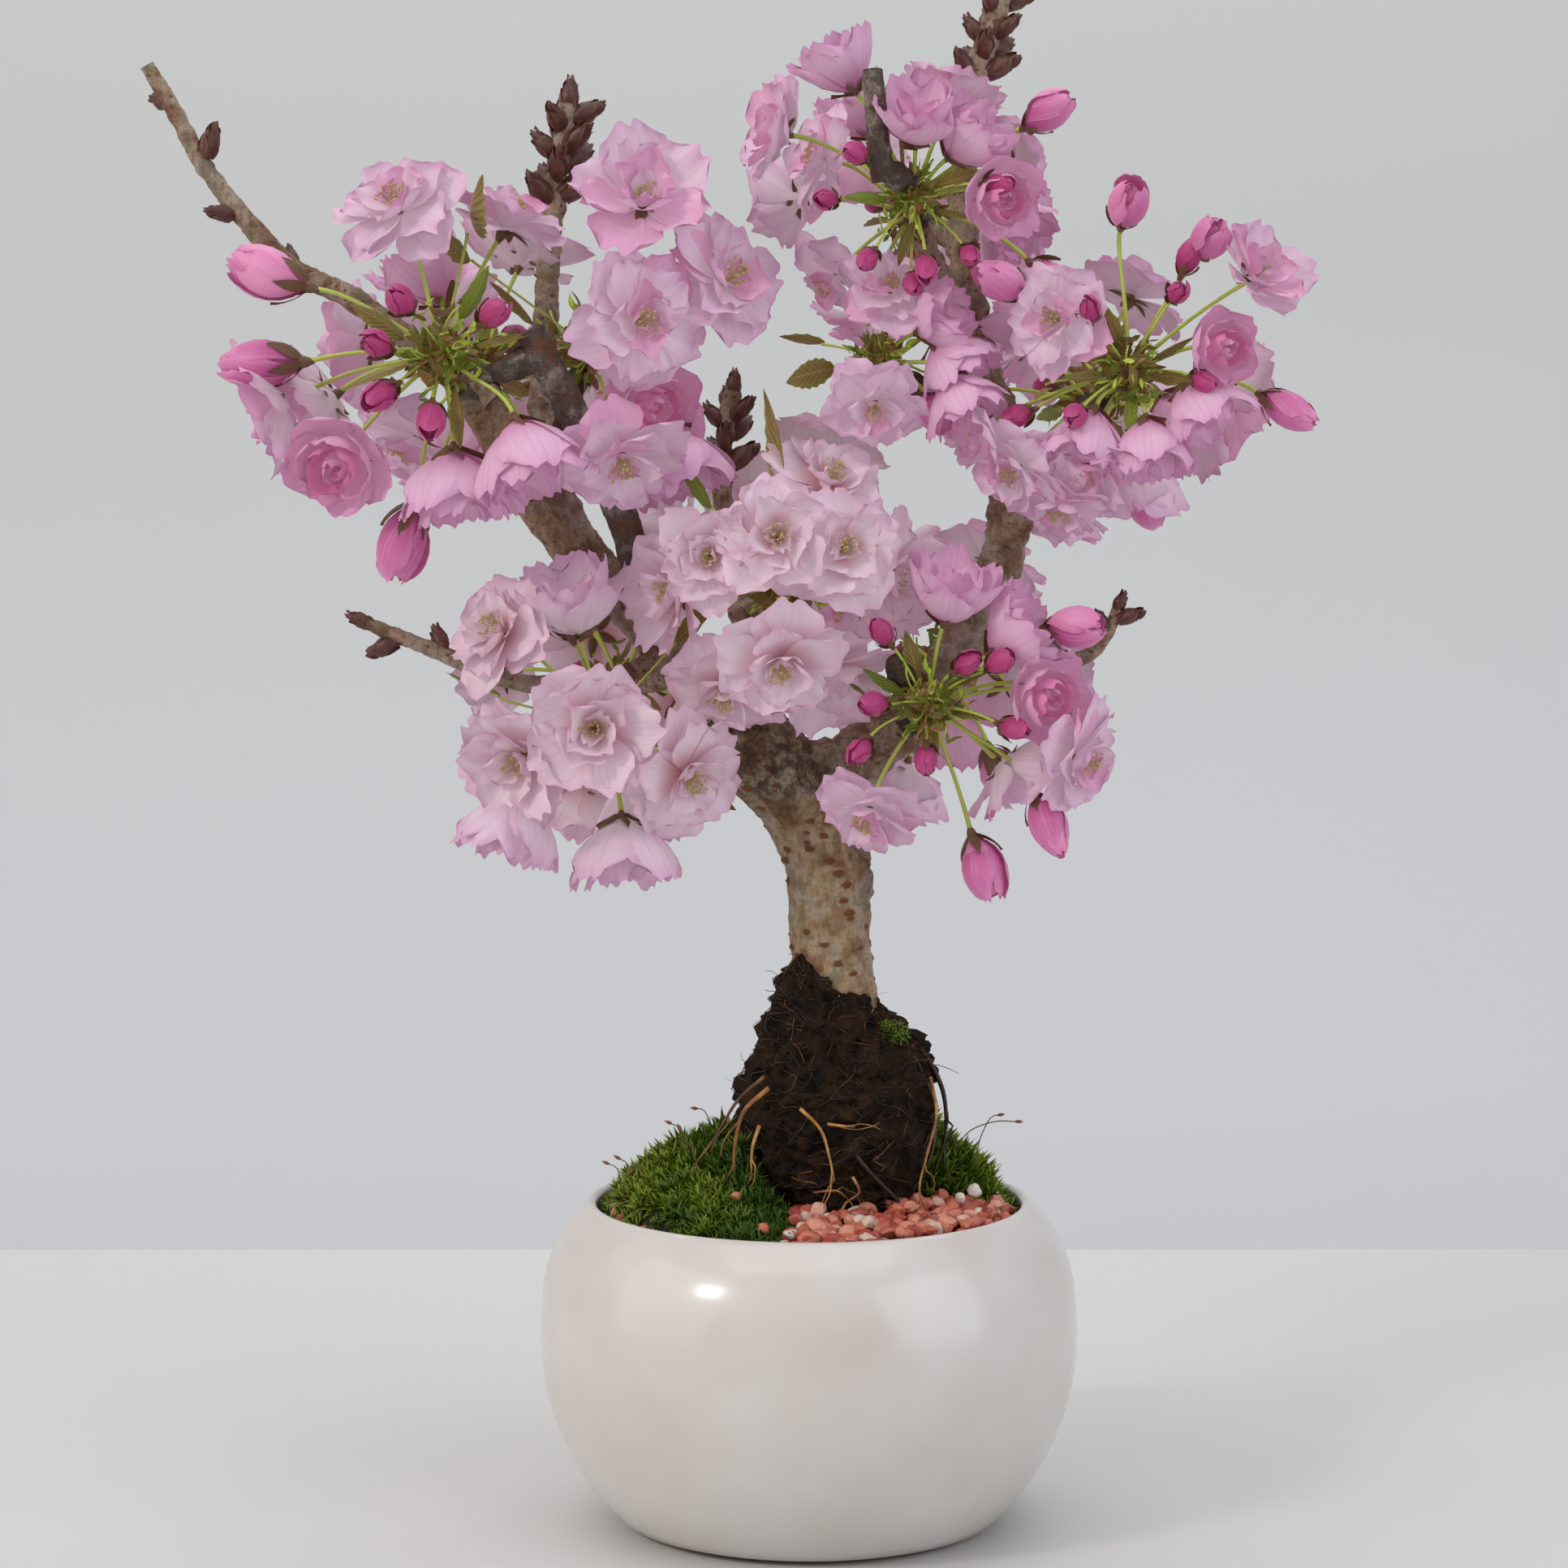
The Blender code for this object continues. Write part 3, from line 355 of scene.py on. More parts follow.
@dataclass(frozen=True)
class Bark:
    """Cherry bark: beige-brown with rusty raised pores, darker where burred, with painted shade in its hollows."""

    trunk: Colour = (0.470, 0.340, 0.200)
    twig: Colour = (0.480, 0.360, 0.265)
    grey: Colour = (0.130, 0.100, 0.090)
    stripped: Colour = (0.580, 0.400, 0.230)
    rust: Colour = (0.200, 0.062, 0.012)
    dark: Colour = (0.045, 0.030, 0.020)
    bloom: Colour = (0.480, 0.420, 0.360)
    lichen: Colour = (0.52, 0.55, 0.40)
    ruddy: Colour = (0.62, 0.42, 0.36)
    shadow: Colour = (0.48, 0.40, 0.34)
    crease_shade: Colour = (0.60, 0.50, 0.42)
    ring: Colour = (0.40, 0.30, 0.22)

    def make(self) -> bpy.types.Material:
        """Makes the finish.

        Returns:
            The material.
        """
        graph = Graph("bark")
        place = graph.spot()
        tone, pore, burr = (graph.mark(name) for name in BARK_MARKS)
        base = graph.ramp(tone, ((Wood.TRUNK.value, self.trunk), (Wood.TWIG.value, self.twig),
                                 (Wood.GREY.value, self.grey), (Wood.STRIPPED.value, self.stripped)))
        patches = graph.grain(place, 0.13, 4.0, 0.6)
        blotches = graph.grain(place, 0.34, 3.0, 0.6)
        fibres = graph.grain(graph.spot((1.0, 1.0, 0.22)), 0.85, 4.0, 0.65)
        bands = graph.grain(graph.spot((0.16, 0.16, 1.0)), 1.1, 3.0, 0.6)
        fine = graph.grain(place, 2.6, 3.0, 0.7)
        mossy = graph.grain(graph.spot((1.0, 1.0, 0.6)), 0.22, 4.0, 0.6)
        pits = graph.cells(graph.spot((1.0, 1.0, 1.5)), 0.42)
        dots = (1.0 - pits.ease(0.16, 0.27)) * tone.ease(0.15, 0.28) * blotches.ease(0.40, 0.50)
        coats = (
            (patches.ease(0.50, 0.58), 0.60, self.bloom, 'MIX'),
            (1.0 - patches.ease(0.38, 0.47), 0.62, self.rust, 'MIX'),
            (mossy.ease(0.51, 0.59), 0.70, self.lichen, 'MULTIPLY'),
            (1.0 - mossy.ease(0.39, 0.47), 0.75, self.ruddy, 'MULTIPLY'),
            # painted shade: the blotches' hollows darken, more so on the burr
            (1.0 - blotches.ease(0.30, 0.46), burr * 0.5 + 0.35, self.shadow, 'MULTIPLY'),
            # painted shade in the creases between the fibres and the bands
            (1.0 - fibres.ease(0.38, 0.56), 0.30, self.crease_shade, 'MULTIPLY'),
            (1.0 - bands.ease(0.38, 0.46), 0.35, self.crease_shade, 'MULTIPLY'),
            # painted shade in the fine crevices and in the burr's hollows
            (1.0 - fine.ease(0.36, 0.52), burr * 0.7 + 0.22, self.dark, 'MIX'),
            (burr * (1.0 - blotches.ease(0.40, 0.60)), 0.80, self.dark, 'MIX'),
            (dots, 0.80, self.rust, 'MIX'),
            (pore.ease(0.01, 0.20), 0.65, self.ring, 'MULTIPLY'),
            (pore.ease(0.15, 0.40), 0.95, self.rust, 'MIX'),
            (pore.ease(0.80, 1.0), 0.30, self.dark, 'MIX'),
        )
        for share, strength, colour, blend in coats:
            base = graph.mix(base, colour, share * strength, blend)
        graph.bump(fibres * 0.4 + fine * 0.6 + bands * 0.2 + blotches * 0.5 + pore * 0.3 + dots * 0.5, 0.7, 1.0)
        return graph.finish(Base_Color=base, Roughness=0.88 - patches * 0.12)


class Tint(Enum):
    """The cells of the petals' atlas."""

    WHITE = 0
    PALE = 1
    ROSY = 2
    BELL = 3
    PINK = 4
    BUD = 5
    DEEP = 6
    STAMEN = 7


@dataclass(frozen=True)
class Petals:
    """Petals with fine veins, a paler foot and a deeper edge, lit by a painted glow of their own colour."""

    # painted glow: the petals emit their colour in place of light shining through them; body_share dims their lit
    # colour to match
    body_share: Colour = (0.86, 0.87, 0.865)
    glow: float = 0.13
    bodies: tuple[Colour, ...] = ((0.800, 0.640, 0.720), (0.790, 0.600, 0.720), (0.790, 0.450, 0.640),
                                  (0.750, 0.450, 0.630), (0.770, 0.290, 0.510), (0.600, 0.130, 0.350),
                                  (0.400, 0.018, 0.140), (0.560, 0.440, 0.200))
    edges: tuple[Colour, ...] = ((0.740, 0.400, 0.580), (0.670, 0.300, 0.530), (0.690, 0.260, 0.490),
                                 (0.640, 0.260, 0.490), (0.680, 0.160, 0.380), (0.730, 0.300, 0.540),
                                 (0.520, 0.080, 0.270), (0.480, 0.230, 0.020))
    feet: tuple[Colour, ...] = ((0.560, 0.200, 0.230), (0.820, 0.690, 0.730), (0.830, 0.560, 0.690),
                                (0.600, 0.150, 0.360), (0.720, 0.220, 0.430), (0.400, 0.040, 0.180),
                                (0.220, 0.015, 0.060), (0.640, 0.560, 0.360))

    def shade(self, graph: Graph, cell: Sock, colours: Sequence[Colour]) -> Sock:
        """Colours the atlas.

        Args:
            graph: The material's nodes.
            cell: The cell's number.
            colours: A colour for each cell.

        Returns:
            The cell's colour.
        """
        count = len(colours)
        stops = [(max(0.0, (number - 0.25) / count), colour) for number, colour in enumerate(colours)]
        return graph.ramp(cell * (1.0 / count), stops, steps=True)

    def make(self) -> bpy.types.Material:
        """Makes the finish.

        Returns:
            The material.
        """
        graph = Graph("petals")
        cell, across, along = graph.atlas(len(Tint))
        side = (across - 0.5).math('ABSOLUTE') * 2.0
        veins = graph.grain(graph.joined(across * 15.0, along * 1.1, cell * 7.0), 1.0, 2.0)
        cloud = graph.grain(graph.joined(across * 2.0, along * 2.0, cell * 3.0), 1.5, 2.0)
        rim = (side ** 4.0) * 0.55 + (along ** 6.0) * 0.80 + cloud * 0.45 - 0.22
        colour = graph.mix(self.shade(graph, cell, self.bodies), self.shade(graph, cell, self.edges),
                           rim.ease(0.0, 1.0))
        colour = graph.mix(colour, self.shade(graph, cell, self.feet), (1.0 - along.ease(0.05, 0.55)) * 0.85)
        streak = veins.ease(0.50, 0.66) * 0.34
        colour = graph.mix(colour, self.shade(graph, cell, self.edges), streak)
        graph.bump(veins, 0.25, 0.45)
        body = graph.mix(colour, self.body_share, 1.0, 'MULTIPLY')
        return graph.finish(Base_Color=body, Roughness=0.50, Sheen_Weight=0.12, Emission_Color=colour,
                            Emission_Strength=self.glow)


class Green(Enum):
    """The cells of the greens' atlas."""

    LEAF = 0
    BRONZE = 1
    SCALE = 2
    SEPAL = 3
    STALK = 4
    BRACT = 5
    WINTER = 6


@dataclass(frozen=True)
class Greens:
    """Young leaves, bud scales, sepals and stalks."""

    bodies: tuple[Colour, ...] = ((0.200, 0.250, 0.025), (0.230, 0.150, 0.035), (0.270, 0.120, 0.045),
                                  (0.130, 0.075, 0.030), (0.440, 0.540, 0.085), (0.460, 0.580, 0.060),
                                  (0.075, 0.022, 0.016))
    edges: tuple[Colour, ...] = ((0.140, 0.210, 0.016), (0.200, 0.260, 0.030), (0.330, 0.300, 0.075),
                                 (0.200, 0.040, 0.050), (0.380, 0.330, 0.085), (0.290, 0.370, 0.035),
                                 (0.170, 0.075, 0.050))
    veins: tuple[Colour, ...] = ((0.330, 0.400, 0.080), (0.420, 0.300, 0.110), (0.420, 0.300, 0.160),
                                 (0.200, 0.200, 0.070), (0.330, 0.420, 0.090), (0.420, 0.460, 0.110),
                                 (0.100, 0.040, 0.030))

    def make(self) -> bpy.types.Material:
        """Makes the finish.

        Returns:
            The material.
        """
        graph = Graph("greens")
        shade = Petals().shade
        cell, across, along = graph.atlas(len(Green))
        side = (across - 0.5).math('ABSOLUTE') * 2.0
        ribs = (along * 9.0 - side * 2.6).math('FRACT')
        rib = (ribs - 0.5).math('ABSOLUTE') * 2.0
        leafy = 1.0 - cell.ease(1.4, 1.6)
        mottle = graph.grain(graph.joined(across * 5.0, along * 9.0, cell), 1.0, 3.0)
        colour = graph.mix(shade(graph, cell, self.bodies), shade(graph, cell, self.edges),
                           side.ease(0.55, 0.95) * 0.7 + mottle.ease(0.5, 0.8) * 0.5)
        lines = (rib.ease(0.78, 0.98) + (1.0 - side.ease(0.02, 0.12))) * leafy
        colour = graph.mix(colour, shade(graph, cell, self.veins), lines * 0.65)
        graph.bump(rib * leafy + mottle * 0.4, 0.35, 0.7)
        # painted glow: the greens emit a little of their own colour, in place of light shining through them
        return graph.finish(Base_Color=colour, Roughness=0.45, Emission_Color=colour, Emission_Strength=0.09)


@dataclass(frozen=True)
class Spotted:
    """A rough ground of two or three colours broken up by noise."""

    name: str
    dark: Colour
    light: Colour
    fleck: Colour
    scale: float
    depth: float
    roughness: float = 0.95
    flecks: float = 0.66
    gloss: float = 0.5

    def make(self) -> bpy.types.Material:
        """Makes the finish.

        Returns:
            The material.
        """
        graph = Graph(self.name)
        place = graph.spot()
        clumps = graph.grain(place, self.scale, 5.0, 0.65)
        crumbs = graph.grain(place, self.scale * 5.0, 3.0, 0.6)
        colour = graph.mix(self.dark, self.light, clumps.ease(0.36, 0.68))
        colour = graph.mix(colour, self.fleck, crumbs.ease(self.flecks, self.flecks + 0.08) * 0.7)
        graph.bump(clumps * 0.6 + crumbs * 0.5, self.depth, 1.0)
        return graph.finish(Base_Color=colour, Roughness=self.roughness, Specular_IOR_Level=self.gloss)


@dataclass(frozen=True)
class Blades:
    """Moss leaves, dark at the foot and bright at the tip."""

    foot: Colour = (0.012, 0.020, 0.002)
    body: Colour = (0.085, 0.150, 0.003)
    tip: Colour = (0.330, 0.400, 0.012)

    def make(self) -> bpy.types.Material:
        """Makes the finish.

        Returns:
            The material.
        """
        graph = Graph("moss_blades")
        along = graph.atlas(1)[2]
        tint = graph.mark("tint")
        colour = graph.ramp(along, ((0.0, self.foot), (0.45, self.body), (1.0, self.tip)))
        colour = graph.mix(colour, (0.26, 0.42, 0.34), tint, 'MULTIPLY')
        # painted glow: the moss emits a little of its own colour
        return graph.finish(Base_Color=colour, Roughness=0.6, Emission_Color=colour, Emission_Strength=0.04)


@dataclass(frozen=True)
class Tinted:
    """A finish whose colour follows the number that each grain or thread carries."""

    name: str
    stops: tuple[tuple[float, Colour], ...]
    roughness: float
    scale: float
    depth: float

    def make(self) -> bpy.types.Material:
        """Makes the finish.

        Returns:
            The material.
        """
        graph = Graph(self.name)
        cloud = graph.grain(graph.spot(), self.scale, 4.0)
        colour = graph.ramp(graph.mark("tint"), self.stops)
        colour = graph.mix(colour, (0.55, 0.52, 0.50), cloud.ease(0.40, 0.75) * 0.7, 'MULTIPLY')
        graph.bump(cloud, self.depth, 0.8)
        return graph.finish(Base_Color=colour, Roughness=self.roughness)


@dataclass(frozen=True)
class Paper:
    """A matt surface of the studio, its colour blended by height from low to high."""

    name: str
    # the colours at low_z and high_z; on the backdrop they paint a gradient of light
    low: Colour
    high: Colour
    low_z: float
    high_z: float
    roughness: float = 0.8

    def make(self) -> bpy.types.Material:
        """Makes the finish.

        Returns:
            The material.
        """
        graph = Graph(self.name)
        place = graph.spot()
        height = graph.node("ShaderNodeSeparateXYZ", {}, {0: place}, "Z")
        cloud = graph.grain(place, 0.004, 2.0) * 0.06
        colour = graph.mix(self.low, self.high, height.ease(self.low_z, self.high_z) + cloud)
        return graph.finish(Base_Color=colour, Roughness=self.roughness)


EARTH = Spotted("earth", (0.003, 0.002, 0.0015), (0.040, 0.019, 0.008), (0.190, 0.075, 0.018), 0.20, 1.0,
                roughness=0.8, flecks=0.68, gloss=0.15)
SOIL = Spotted("soil", (0.012, 0.008, 0.005), (0.055, 0.036, 0.024), (0.150, 0.110, 0.080), 0.60, 0.8)
TURF = Spotted("turf", (0.008, 0.012, 0.002), (0.028, 0.042, 0.003), (0.070, 0.095, 0.008), 0.80, 0.8)
GRAVEL_BED = Spotted("gravel_bed", (0.160, 0.050, 0.040), (0.360, 0.140, 0.110), (0.600, 0.450, 0.380), 0.9, 0.8)
STONES = Tinted("stones", (
    (0.0, (0.350, 0.055, 0.038)), (0.4, (0.620, 0.170, 0.105)), (0.68, (0.720, 0.310, 0.210)),
    (0.84, (0.740, 0.500, 0.390)), (1.0, (0.740, 0.690, 0.630))), 0.34, 0.5, 0.20)
ROOTS = Tinted("roots", (
    (0.0, (0.010, 0.006, 0.004)), (0.5, (0.070, 0.028, 0.010)), (0.8, (0.300, 0.115, 0.028)),
    (1.0, (0.560, 0.290, 0.090))), 0.5, 0.9, 0.2)


# ---------------------------------------------------------------- meshes

def fresh(*marks: str) -> BMesh:
    """Starts a mesh.

    Args:
        *marks: The names of the numbers that its points carry.

    Returns:
        An empty mesh in the making, with the atlas map.
    """
    bm = bmesh.new()
    bm.loops.layers.uv.new(UV_NAME)
    for name in marks:
        bm.verts.layers.float.new(name)
    return bm


def sheet(bm: BMesh, across: int, along: int, place: Place, cell: Cell = None,
          paint: Optional[Paint] = None) -> list[BMVert]:
    """Adds a grid and bends it to shape.

    Args:
        bm: The mesh.
        across: Faces across the grid.
        along: Faces along it.
        place: Gives each point's place from its shares across and along.
        cell: The atlas cell that it is drawn on, or none for the whole map.
        paint: Sets the numbers that a point carries.

    Returns:
        The grid's points.
    """
    made = bmesh.ops.create_grid(bm, x_segments=across, y_segments=along, size=0.5)["verts"]
    layer = bm.loops.layers.uv[UV_NAME]
    number, count = (0, 1) if cell is None else (cell.value, len(type(cell)))
    shares = {vert: (vert.co.x + 0.5, vert.co.y + 0.5) for vert in made}
    for face in {face for vert in made for face in vert.link_faces}:
        face.smooth = True
        for loop in face.loops:
            u, v = shares[loop.vert]
            loop[layer].uv = ((number + 0.03 + 0.94 * u) / count, 0.02 + 0.96 * v)
    for vert, (u, v) in shares.items():
        vert.co = place(u, v)
        if paint:
            paint(vert, u, v)
    return made


def weld(bm: BMesh, verts: Sequence[BMVert]) -> list[BMVert]:
    """Joins points that meet.

    Args:
        bm: The mesh.
        verts: The points.

    Returns:
        The points that are left.
    """
    bmesh.ops.remove_doubles(bm, verts=list(verts), dist=WELD)
    return [vert for vert in verts if vert.is_valid]


def sides_along(points: Sequence[Vector]) -> list[tuple[Vector, Vector]]:
    """Carries two directions along a route without a twist.

    Args:
        points: The route.

    Returns:
        Two directions square to the route, at each of its points.
    """
    sides = []
    side = None
    last = len(points) - 1
    for i in range(last + 1):
        ahead = (points[min(i + 1, last)] - points[max(i - 1, 0)]).normalized()
        if side is None:
            side = ahead.orthogonal()
        side = (side - ahead * side.dot(ahead)).normalized()
        sides.append((side, ahead.cross(side)))
    return sides


def tube(bm: BMesh, points: Sequence[Vector], radii: Sequence[float], sides: int, cell: Cell = None,
         swell: Optional[Callable[[Vector, Vector, float], float]] = None,
         paint: Optional[Callable[[BMVert, float], None]] = None) -> None:
    """Adds a closed tube along a route.

    Args:
        bm: The mesh.
        points: The route.
        radii: The tube's radius at each of its points.
        sides: Faces round it.
        cell: The atlas cell that it is drawn on, or none for the whole map.
        swell: Gives how far a point stands out, from its place, the way out and the share along.
        paint: Sets the numbers that a point carries, from the share along.
    """
    frames = sides_along(points)
    rows = len(points) + 1

    def place(u: float, v: float) -> Vector:
        """Returns a point of the skin, or of either closed end."""
        row = round(v * rows) - 1
        if row < 0 or row == len(points):
            return points[min(max(row, 0), len(points) - 1)].copy()
        side, over = frames[row]
        out = side * math.cos(math.tau * u) + over * math.sin(math.tau * u)
        spot = points[row] + out * radii[row]
        return spot + out * swell(spot, out, v) if swell else spot

    def colour(vert: BMVert, _u: float, v: float) -> None:
        """Sets a point's numbers from its share along."""
        paint(vert, v)

    weld(bm, sheet(bm, sides, rows, place, cell, colour if paint else None))


def curve(bends: Sequence[Sequence[float]], step: float) -> list[Vector]:
    """Lays a smooth curve through its bends.

    Args:
        bends: The places that it passes.
        step: About how far apart its points are.

    Returns:
        The curve's points.
    """
    points = [Vector(bend) for bend in bends]
    padded = [2.0 * points[0] - points[1]] + points + [2.0 * points[-1] - points[-2]]
    route = []
    for a, b, c, d in zip(padded, padded[1:], padded[2:], padded[3:]):
        parts = max(1, round((c - b).length / step))
        for part in range(parts):
            t = part / parts
            route.append(0.5 * (2.0 * b + (c - a) * t + (2.0 * a - 5.0 * b + 4.0 * c - d) * t * t
                                + (3.0 * b - a - 3.0 * c + d) * t * t * t))
    return route + [points[-1]]


def bezier(first: Vector, second: Vector, third: Vector, last: Vector, steps: int) -> list[Vector]:
    """Lays a curve by four points.

    Args:
        first: Where it starts.
        second: What it starts towards.
        third: What it ends away from.
        last: Where it ends.
        steps: How many parts it has.

    Returns:
        The curve's points.
    """
    route = []
    for step in range(steps + 1):
        t = step / steps
        s = 1.0 - t
        route.append(first * s ** 3 + second * 3.0 * s * s * t + third * 3.0 * s * t * t + last * t ** 3)
    return route


def blended(rows: Sequence[Sequence[float]], share: float) -> list[float]:
    """Reads a table smoothly between its rows.

    Args:
        rows: The table.
        share: How far through it, from 0 to 1.

    Returns:
        The row's numbers there.
    """
    spot = min(max(share, 0.0), 1.0) * (len(rows) - 1)
    i = min(int(spot), len(rows) - 2)
    t = spot - i
    a, b, c, d = (rows[min(max(k, 0), len(rows) - 1)] for k in range(i - 1, i + 3))
    return [0.5 * (2.0 * q + (r - p) * t + (2.0 * p - 5.0 * q + 4.0 * r - s) * t * t
                   + (3.0 * q - p - 3.0 * r + s) * t ** 3) for p, q, r, s in zip(a, b, c, d)]


def lump(point: Vector, size: float) -> float:
    """Returns a smooth value from -1 to 1 for a place, in waves of about a size."""
    return noise.noise(point / size)


def step_up(value: float, low: float, high: float) -> float:
    """Returns a value's smooth rise.

    Args:
        value: The value.
        low: Below this it gives 0.
        high: Above this it gives 1.

    Returns:
        The height of the rise, from 0 to 1.
    """
    t = min(max((value - low) / (high - low), 0.0), 1.0)
    return t * t * (3.0 - 2.0 * t)


def heading(angle: float) -> Vector:
    """Returns the level direction at an angle from +X, in radians."""
    return Vector((math.cos(angle), math.sin(angle), 0.0))


def scatter(dice: random.Random, *spans: tuple[float, float]) -> Vector:
    """Returns a random vector, with the least and the most of each of its numbers given."""
    return Vector([dice.uniform(*span) for span in spans])


def tapered(radius: float, count: int, start: float = 1.0, loss: float = 0.7) -> list[float]:
    """Thins a root along its route.

    Args:
        radius: Its size.
        count: How many points the route has.
        start: Its radius at the first point, as a share of the size.
        loss: How much of that share is gone at the end.

    Returns:
        A radius for each point.
    """
    return [radius * (start - loss * i / count) for i in range(count)]


def any_turn(dice: random.Random) -> float:
    """Returns a random angle all the way round."""
    return dice.uniform(0.0, 6.28)


def aimed(centre: Vector, aim: Vector, spin: float, scale: float = 1.0) -> Matrix:
    """Sets something that faces +Z in its place.

    Args:
        centre: Where it goes.
        aim: What it then faces.
        spin: Its angle about that, in radians.
        scale: Its size.

    Returns:
        The matrix that moves it.
    """
    return (Matrix.Translation(centre) @ aim.to_track_quat('Z', 'Y').to_matrix().to_4x4()
            @ Matrix.Rotation(spin, 4, 'Z') @ Matrix.Scale(scale, 4))


def show(name: str, data: bpy.types.ID) -> bpy.types.Object:
    """Puts a mesh, lamp or camera in the scene.

    Args:
        name: The object's name.
        data: What it shows.

    Returns:
        The object.
    """
    made = bpy.data.objects.new(name, data)
    bpy.context.scene.collection.objects.link(made)
    return made


class Piece:
    """A mesh in the making that becomes one named piece of the tree."""

    def __init__(self, name: str, *marks: str) -> None:
        """Starts an empty piece whose points carry the named numbers."""
        self.name = name
        self.bm = fresh(*marks)

    def layer(self, name: str) -> bmesh.types.BMLayerItem:
        """Returns the layer of one of the named numbers."""
        return self.bm.verts.layers.float[name]

    def add(self, template: bpy.types.Mesh, matrix: Matrix) -> None:
        """Adds a copy of a mesh.

        Args:
            template: The mesh.
            matrix: Moves the copy to its place.
        """
        copy = template.copy()
        copy.transform(matrix)
        self.bm.from_mesh(copy)
        bpy.data.meshes.remove(copy)

    def face_out(self) -> None:
        """Turns every face outwards."""
        bmesh.ops.recalc_face_normals(self.bm, faces=self.bm.faces)

    def mesh(self) -> bpy.types.Mesh:
        """Ends the piece as a bare mesh.

        Returns:
            The mesh, in millimetres.
        """
        mesh = bpy.data.meshes.new(self.name)
        self.bm.to_mesh(mesh)
        self.bm.free()
        return mesh

    def done(self, finish: bpy.types.Material, nodes: Sequence[str] = (),
             sharp: Optional[float] = None) -> bpy.types.Object:
        """Ends the piece.

        Args:
            finish: Its material.
            nodes: The solids that it stands for.
            sharp: The angle, in degrees, past which an edge is sharp.

        Returns:
            The piece's object, riding on the tree.
        """
        bmesh.ops.scale(self.bm, vec=(MM, MM, MM), verts=self.bm.verts)
        mesh = self.mesh()
        mesh.materials.append(finish)
        mesh.shade_smooth()
        if sharp:
            mesh.set_sharp_from_angle(angle=math.radians(sharp))
        made = show(self.name, mesh)
        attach(made, "root")
        if nodes:
            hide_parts(*nodes)
        LOG.info("%s: %d faces", self.name, len(mesh.polygons))
        return made


# ---------------------------------------------------------------- pot and ground

@dataclass(frozen=True)
class Pot:
    """A round pot with a full belly, a flat foot and a rolled rim."""

    belly_r: float = 60.5
    belly_z: float = 42.0
    lower_a: float = 57.4
    upper_a: float = 41.6
    upper_n: float = 2.8
    foot_r: float = 39.5
    rim_z: float = 73.0
    mouth_r: float = 46.8
    floor_z: float = 8.0
    side_z: float = 1.6
    side_height: float = 70.0
    side_steps: int = 34
    wall: float = 5.0
    lip_r: float = 1.3
    turns: int = 144

    def outer_r(self, z: float) -> float:
        """Draws the outside: one ellipse below the belly, and a squarer one above it.

        Args:
            z: A height.

        Returns:
            The outer radius there.
        """
        if z < self.belly_z:
            return self.belly_r * math.sqrt(1.0 - ((self.belly_z - z) / self.lower_a) ** 2)
        share = (z - self.belly_z) / self.upper_a
        return self.belly_r * (1.0 - share ** self.upper_n) ** (1.0 / self.upper_n)

    def inner_r(self, z: float) -> float:
        """Draws the inside.

        Args:
            z: A height.

        Returns:
            The inner radius there.
        """
        thin = 2.2 * max(0.0, z - self.belly_z) / (self.rim_z - self.belly_z)
        return min(self.outer_r(z) - self.wall + thin, self.mouth_r + 0.42 * (self.rim_z - z))

    def profile(self) -> list[tuple[float, float]]:
        """Draws the wall's outline.

        Returns:
            Its radii and heights, from the foot over the rim to the floor.
        """
        heights = [self.side_z + self.side_height * (i / self.side_steps) for i in range(self.side_steps + 1)]
        outside = [(self.outer_r(z), z) for z in heights]
        tip = self.mouth_r + 1.9
        roll = [(tip + 0.3 + self.lip_r * math.cos(t), self.rim_z - self.lip_r + self.lip_r * math.sin(t))
                for t in [math.radians(55.0 + 25.0 * i) for i in range(6)]]
        inside = [(self.inner_r(z), z) for z in (70.0, 66.0, 60.0, 52.0, 44.0, 33.0, 22.0)]
        foot = [(0.0, 0.0), (self.foot_r - 1.2, 0.0), (self.foot_r - 0.35, 0.12), (self.foot_r, 0.5)]
        return foot + outside + roll + inside + [(self.foot_r - 4.0, self.floor_z), (0.0, self.floor_z)]

    def build(self, finish: bpy.types.Material) -> None:
        """Makes the pot.

        Args:
            finish: The glaze.
        """
        piece = Piece("glazed_pot")
        bm = piece.bm
        verts = [bm.verts.new((r, 0.0, z)) for r, z in self.profile()]
        edges = [bm.edges.new(pair) for pair in zip(verts, verts[1:])]
        bmesh.ops.spin(bm, geom=verts + edges, cent=ORIGIN, axis=UP, angle=math.tau, steps=self.turns,
                       use_merge=True, use_duplicate=False)
        bmesh.ops.remove_doubles(bm, verts=bm.verts, dist=0.001)
        piece.face_out()
        piece.done(finish, ["pot"], 50.0)


